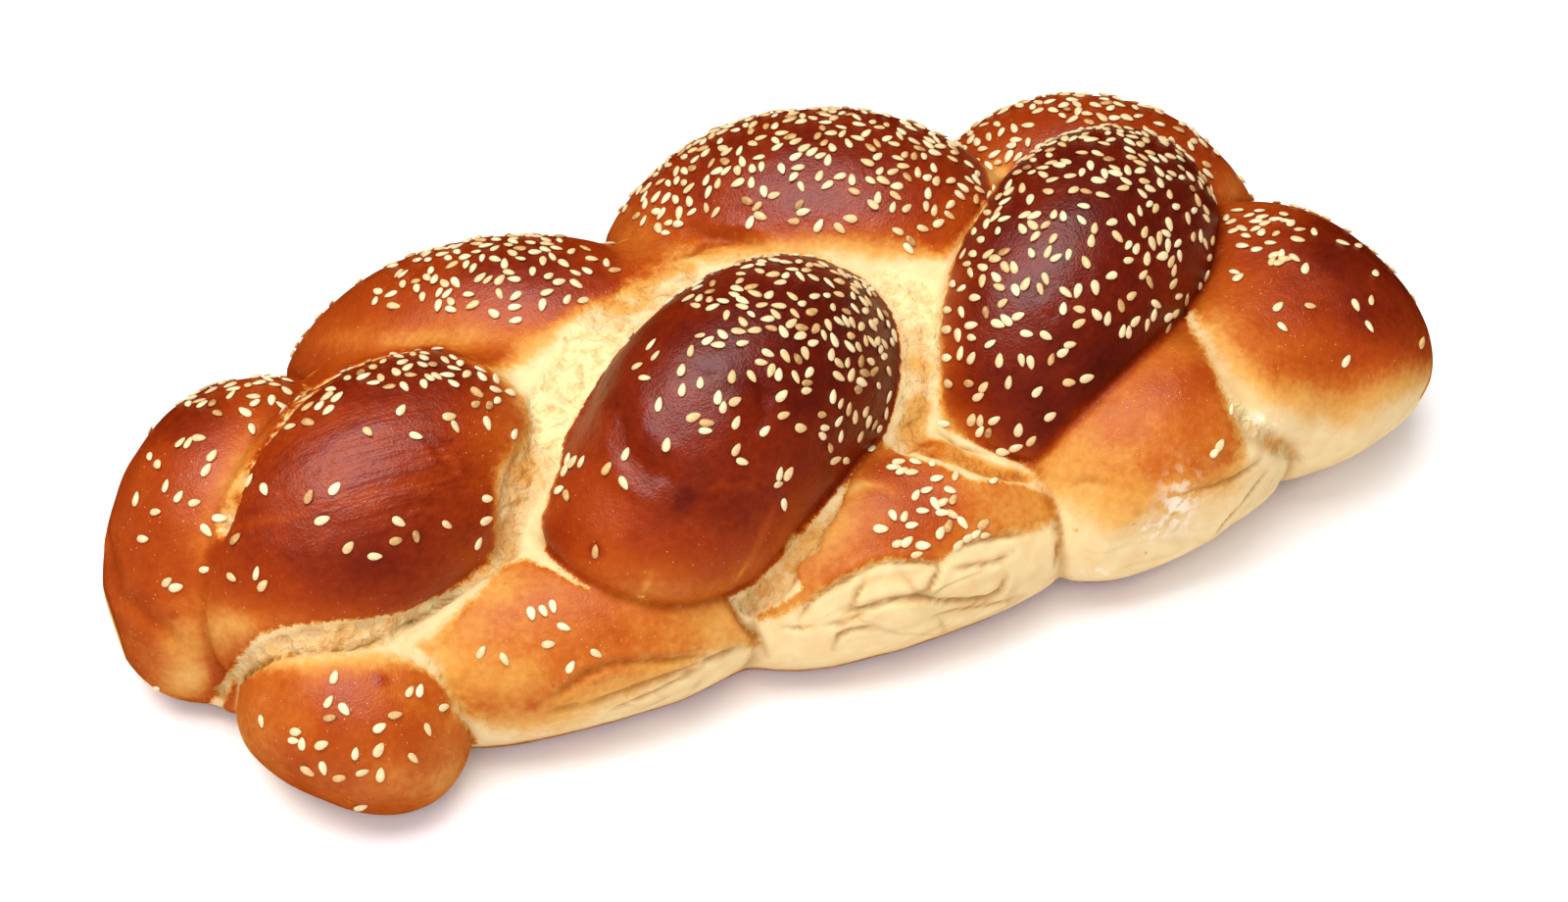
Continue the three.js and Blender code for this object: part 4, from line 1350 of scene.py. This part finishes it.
def seed_spots(vertices, faces, seen, tree, rng):
    """Where seeds stick: point, way out, and the way that they point."""
    spots = lone_seeds(tree)
    points, normals, first, area = spots_on_faces(vertices, faces, CANDIDATES, rng)
    wanted = seeds_wanted(points, normals, seen[first] > 0.5)
    keep = np.nonzero(rng.random(len(points)) < wanted * area / CANDIDATES * SPARE_TRIES)[0]
    placed = np.concatenate([along_seed(spot[0], spot[2]) for spot in spots])
    for i in keep:
        way = flat_way(rng.normal(size=3), normals[i])
        own = along_seed(points[i], way)
        if np.linalg.norm(placed[:, None] - own, axis=2).min() < SEED_GAP:
            continue
        placed = np.concatenate([placed, own])
        spots.append((points[i], normals[i], way))
    return spots


def make_seeds(vertices, faces, brown, seen, tree):
    """All sesame seeds as one mesh, each lying on the loaf."""
    rng = np.random.default_rng(5)
    shape, shape_faces = seed_shape()
    low, high = (np.array(corner) / MM for corner in CAD_BOX)
    tip = smooth(shape[:, 0] / SEED_SIZE[0] * 2, 0.75, 1)
    all_points, all_faces, tones = [], [], []
    for place, out, way in seed_spots(vertices, faces, seen, tree, rng):
        out = out + rng.normal(scale=SEED_LEAN, size=3)
        out /= np.linalg.norm(out)
        along = flat_way(way, out)
        turn = np.stack([along, np.cross(out, along), out])
        size = rng.uniform(*SEED_LENGTHS) * np.array([1, rng.uniform(*SEED_WIDTHS), 1])
        lift = SEED_SIZE[2] / 2 * size[2] - SEED_SUNK
        points = shape * size @ turn + place + out * lift
        if (points < low + SEED_INSIDE).any() or (points > high - SEED_INSIDE).any():
            continue
        all_faces += [tuple(len(all_points) * len(shape) + v for v in face) for face in shape_faces]
        all_points.append(points)
        browned = brown[np.argmin(((vertices - place) ** 2).sum(1))]
        tone = rng.choice(SEED_TONES, p=SEED_SHARES) + rng.uniform(*TONE_STRAY)
        tone += TONE_OF_CRUST * (browned - TONE_CRUST)
        tones.append(np.clip(tone + TONE_TIP * tip, 0, 1))
    seeds = link("challah_seeds", np.concatenate(all_points), all_faces, seed_material())
    tag(seeds, "tone", np.concatenate(tones))
    return seeds


def tag(thing, name, values):
    """Stores one number for each vertex, for the material to read."""
    attribute = thing.data.attributes.new(name, "FLOAT", "POINT")
    attribute.data.foreach_set("value", np.asarray(values, dtype=np.float32))


class Nodes:
    """A short way to write a material's nodes."""

    def __init__(self, name):
        self.material = bpy.data.materials.new(name)
        self.material.use_nodes = True
        self.tree = self.material.node_tree
        self.shader = self.tree.nodes["Principled BSDF"]

    def add(self, kind, **settings):
        node = self.tree.nodes.new(kind)
        for key, value in settings.items():
            setattr(node, key, value)
        return node

    def wire(self, source, target):
        self.tree.links.new(source, target)

    def put(self, target, value):
        if isinstance(value, bpy.types.NodeSocket):
            self.wire(value, target)
        else:
            target.default_value = value

    def attribute(self, name):
        return self.add("ShaderNodeAttribute", attribute_name=name).outputs["Fac"]

    def noise(self, name, place=None):
        node = self.add("ShaderNodeTexNoise")
        scale, detail = NOISES[name]
        self.wire(place or self.place(), node.inputs["Vector"])
        node.inputs["Scale"].default_value = scale
        node.inputs["Detail"].default_value = detail
        return node.outputs[0]

    def uneven(self, name, reach):
        """Noise from -reach to reach."""
        return self.remap(self.noise(name), 0.25, 0.75, -reach, reach)

    def specks(self, name):
        """Round spots in a share of the cells of a grid."""
        scale, radius, share = SPECKS[name]
        node = self.add("ShaderNodeTexVoronoi")
        self.wire(self.place(), node.inputs["Vector"])
        node.inputs["Scale"].default_value = scale
        inside = self.remap(node.outputs["Distance"], 0.5 * radius, radius, 1, 0)
        chosen = self.sum("LESS_THAN", node.outputs["Color"], share)
        return self.sum("MULTIPLY", inside, chosen)

    def place(self):
        return self.add("ShaderNodeTexCoord").outputs["Object"]

    def along(self, heading, stretch):
        """Places that change slowly along a heading in degrees."""
        node = self.add("ShaderNodeMapping", vector_type="TEXTURE")
        self.wire(self.place(), node.inputs["Vector"])
        node.inputs["Rotation"].default_value = (0, 0, math.radians(heading))
        node.inputs["Scale"].default_value = (stretch, 1, 1)
        return node.outputs[0]

    def sum(self, kind, a, b, clamp=False):
        node = self.add("ShaderNodeMath", operation=kind, use_clamp=clamp)
        self.put(node.inputs[0], a)
        self.put(node.inputs[1], b)
        return node.outputs[0]

    def ramp(self, value, stops):
        node = self.add("ShaderNodeValToRGB")
        self.wire(value, node.inputs[0])
        elements = node.color_ramp.elements
        while len(elements) < len(stops):
            elements.new(1.0)
        for element, (place, colour) in zip(elements, stops):
            element.position = place
            element.color = colour
        return node.outputs[0]

    def remap(self, value, low, high, to_low, to_high, kind="LINEAR"):
        node = self.add("ShaderNodeMapRange", interpolation_type=kind)
        for socket, given in zip(node.inputs, (value, low, high, to_low, to_high)):
            self.put(socket, given)
        return node.outputs[0]

    def mix(self, share, a, b, kind="MIX"):
        node = self.add("ShaderNodeMix", data_type="RGBA", blend_type=kind)
        colours = [socket for socket in node.inputs if socket.type == "RGBA"]
        self.put(node.inputs[0], share)
        self.put(colours[0], a)
        self.put(colours[1], b)
        return [socket for socket in node.outputs if socket.type == "RGBA"][0]

    def bump(self, height, strength, distance, after=None):
        node = self.add("ShaderNodeBump")
        self.put(node.inputs["Height"], height)
        self.put(node.inputs["Strength"], strength)
        self.put(node.inputs["Distance"], distance)
        if after:
            self.put(node.inputs["Normal"], after)
        return node.outputs[0]


def crust_share(nodes):
    """0 on bare dough and 1 on full crust, with a ragged edge between them."""
    ragged = nodes.sum("ADD", nodes.uneven("edge", 0.5), nodes.uneven("edge grain", 0.3))
    ragged = nodes.sum("MULTIPLY", ragged, nodes.attribute("ragged"))
    edge = nodes.sum("ADD", nodes.attribute("edge"), ragged)
    return nodes.remap(edge, 0, 1, 0, 1, "SMOOTHSTEP")


def crust_streaks(nodes):
    """The finest lines of the stretched crust."""
    along = nodes.along(LINED["heading"], STREAK_STRETCH)
    streaks = nodes.remap(nodes.noise("streaks", along), 0.3, 0.7, -1, 1)
    return nodes.sum("MULTIPLY", streaks, nodes.attribute("lined"))


def dough_veins(nodes):
    """Thin creases among the wrinkles of the pale dough, for bump and painted shade."""
    veins = nodes.noise("veins", nodes.along(LINED["heading"], VEIN_STRETCH))
    rise, fall = nodes.remap(veins, 0.46, 0.5, 0, 1), nodes.remap(veins, 0.5, 0.54, 1, 0)
    wrinkled = nodes.remap(nodes.attribute("wrinkled"), 0.02, 0.25, 0, 1)
    return nodes.sum("MULTIPLY", nodes.sum("MINIMUM", rise, fall), wrinkled)


def browning(nodes, crust, streaks):
    """How brown the loaf is, from 0 to 1."""
    mottle = nodes.sum("ADD", nodes.uneven("mottle", 0.06), nodes.uneven("fine mottle", 0.04))
    browned = nodes.sum("ADD", nodes.attribute("brown"), mottle)
    browned = nodes.sum("ADD", browned, nodes.sum("MULTIPLY", streaks, 0.08))
    pale = nodes.sum("ADD", nodes.attribute("pale"), nodes.uneven("dough", 0.03))
    level = nodes.remap(crust, 0, 1, pale, browned)
    freckles = nodes.sum("MULTIPLY", nodes.specks("freckles"), nodes.remap(level, 0.25, 0.5, 0.1, 0))
    return nodes.sum("ADD", level, freckles, clamp=True)


def loaf_colour(nodes, level, torn, veins):
    """Browning's colour, with painted glint specks, painted shade in holes and creases, and flour."""
    colour = nodes.ramp(level, [(place, linear(tint)) for place, tint in CRUST_COLOURS])
    # Painted glint: bright specks on mid-brown crust that stand in for sparkles of light
    painted_glints = nodes.remap(level, 0.3, 0.45, 0, PAINTED_GLINTS)
    painted_glints = nodes.sum("MULTIPLY", painted_glints, nodes.remap(level, 0.62, 0.75, 1, 0))
    painted_glints = nodes.sum("MULTIPLY", painted_glints, nodes.specks("painted_glints"))
    colour = nodes.mix(painted_glints, colour, linear(PAINTED_GLINT))
    # Painted shade in the holes of torn crumb, stronger in deeper tears
    hollows = nodes.remap(nodes.noise("hollows"), 0.38, 0.52, 0.9, 0)
    holes = nodes.sum("MAXIMUM", hollows, nodes.specks("holes"))
    pit_shade = nodes.remap(nodes.attribute("pit_shade"), 0.2, 1.6, 0.12, 0.95)
    pit_shade = nodes.sum("MULTIPLY", pit_shade, nodes.sum("MULTIPLY", torn, holes))
    colour = nodes.mix(pit_shade, colour, linear(PAINTED_PIT_SHADE))
    # Painted shade: the bottoms of folds, wrinkles, lobe creases and the dough's thin veins are darkened
    colour = nodes.mix(nodes.attribute("shade"), colour, linear(PAINTED_CREASE_SHADE), "MULTIPLY")
    colour = nodes.mix(nodes.sum("MULTIPLY", veins, 0.4), colour, linear(PAINTED_CREASE_SHADE), "MULTIPLY")
    flour = nodes.remap(nodes.noise("flour"), 0.48, 0.6, 0, 0.8)
    return nodes.mix(nodes.sum("MULTIPLY", nodes.attribute("flour"), flour), colour, linear(FLOUR))


def set_gloss(nodes, level, torn):
    """Browner crust is glossier, and creases, torn crumb and glancing views are duller."""
    dull = nodes.remap(level, 0.05, 0.5, 0.65, 0.29)
    dull = nodes.sum("MAXIMUM", dull, nodes.remap(torn, 0, 1, 0, 0.85))
    nodes.put(nodes.shader.inputs["Roughness"], dull)
    gloss = nodes.remap(level, 0.25, 0.7, 0.14, 0.35)
    gloss = nodes.sum("MULTIPLY", gloss, nodes.remap(torn, 0, 1, 1, 0.2))
    gloss = nodes.sum("MULTIPLY", gloss, nodes.remap(nodes.attribute("shade"), 0, 0.7, 1, 0.1))
    facing = nodes.add("ShaderNodeLayerWeight").outputs["Facing"]
    gloss = nodes.sum("MULTIPLY", gloss, nodes.remap(facing, 0.35, 0.8, 1, 0.1))
    nodes.put(nodes.shader.inputs["Specular IOR Level"], gloss)


def set_bumps(nodes, crust, torn, streaks, veins):
    """The finest relief: leathery crust, streaks, veins, ripples and pores."""
    bumps = nodes.bump(nodes.noise("leather"), nodes.remap(crust, 0, 1, 0.1, 0.4), 0.0004)
    bumps = nodes.bump(streaks, 0.35, 0.00025, bumps)
    bumps = nodes.bump(nodes.remap(veins, 0, 1, 1, 0), 0.6, 0.0005, bumps)
    bumps = nodes.bump(nodes.noise("ripples"), nodes.remap(crust, 0, 1, 0.1, 0.16), 0.0012, bumps)
    bumps = nodes.bump(nodes.noise("pores"), nodes.remap(torn, 0, 1, 0, 1), 0.0016, bumps)
    nodes.put(nodes.shader.inputs["Normal"], bumps)


def loaf_material():
    """Glossy crust by how brown it is, pale dough, and dull torn crumb."""
    nodes = Nodes("crust")
    crust = crust_share(nodes)
    torn = nodes.remap(crust, 0, 1, nodes.attribute("torn"), 0)
    streaks = crust_streaks(nodes)
    veins = dough_veins(nodes)
    level = browning(nodes, crust, streaks)
    nodes.put(nodes.shader.inputs["Base Color"], loaf_colour(nodes, level, torn, veins))
    set_gloss(nodes, level, torn)
    set_bumps(nodes, crust, torn, streaks, veins)
    nodes.shader.inputs["Subsurface Weight"].default_value = 0.1
    nodes.shader.inputs["Subsurface Radius"].default_value = (1.0, 0.5, 0.2)
    nodes.shader.inputs["Subsurface Scale"].default_value = 0.002
    return nodes.material


def seed_material():
    """Pale to toasted sesame, darker at the tip."""
    nodes = Nodes("sesame")
    mottle = nodes.remap(nodes.noise("seed"), 0.3, 0.7, -0.12, 0.12)
    tone = nodes.sum("ADD", nodes.attribute("tone"), mottle, clamp=True)
    tints = ((0, SEED_PALE), (0.6, SEED_TOASTED), (1, SEED_BROWN))
    colour = nodes.ramp(tone, [(place, linear(tint)) for place, tint in tints])
    nodes.put(nodes.shader.inputs["Base Color"], colour)
    nodes.shader.inputs["Roughness"].default_value = 0.45
    nodes.shader.inputs["Subsurface Weight"].default_value = 0.15
    nodes.shader.inputs["Subsurface Scale"].default_value = 0.001
    return nodes.material


def add_camera():
    data = bpy.data.cameras.new("camera")
    data.lens = LENS
    data.sensor_width = SENSOR
    data.clip_start = 0.01
    data.clip_end = 20
    camera = bpy.data.objects.new("camera", data)
    camera.location = Vector(EYE * MM)
    camera.rotation_mode = "QUATERNION"
    camera.rotation_quaternion = Vector(EYE_AXES[2]).to_track_quat("-Z", "Y")
    bpy.context.scene.collection.objects.link(camera)
    bpy.context.scene.camera = camera


def add_floor():
    nodes = Nodes("floor")
    nodes.shader.inputs["Base Color"].default_value = linear(FLOOR)
    nodes.shader.inputs["Roughness"].default_value = 0.8
    corners = [(x * FLOOR_HALF, y * FLOOR_HALF, 0) for x, y in ((-1, -1), (1, -1), (1, 1), (-1, 1))]
    floor = link("floor", corners, [(0, 1, 2, 3)], nodes.material)
    floor.visible_glossy = False


def add_sky():
    world = bpy.data.worlds.new("world")
    world.use_nodes = True
    background = world.node_tree.nodes["Background"]
    background.inputs["Color"].default_value = (1, 1, 1, 1)
    background.inputs["Strength"].default_value = SKY
    bpy.context.scene.world = world
    world.cycles_visibility.glossy = False


def add_light(name, place, size, power):
    """A rectangular light that points at the middle of the floor."""
    data = bpy.data.lights.new(name, "AREA")
    data.shape = "RECTANGLE"
    data.size, data.size_y = size
    data.energy = power
    light = bpy.data.objects.new(name, data)
    light.location = place
    light.rotation_mode = "QUATERNION"
    light.rotation_quaternion = (-Vector(place)).to_track_quat("-Z", "Y")
    bpy.context.scene.collection.objects.link(light)
    return light


add_camera()
vertices, faces, looks, seen, tree = shape_loaf()
loaf = link("challah_loaf", vertices, faces, loaf_material())
for name, values in looks.items():
    tag(loaf, name, values)
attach(loaf, "root")
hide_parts("challah")
seeds = make_seeds(vertices, faces, looks["brown"], seen, tree)
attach(seeds, "root")
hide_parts("challah")
add_floor()
add_sky()
add_light("softbox", SOFTBOX_PLACE, SOFTBOX_SIZE, SOFTBOX_POWER)
add_light("fill", FILL_PLACE, FILL_SIZE, FILL_POWER).visible_glossy = False

scene = bpy.context.scene
scene.view_settings.view_transform = "Standard"
scene.view_settings.look = "None"
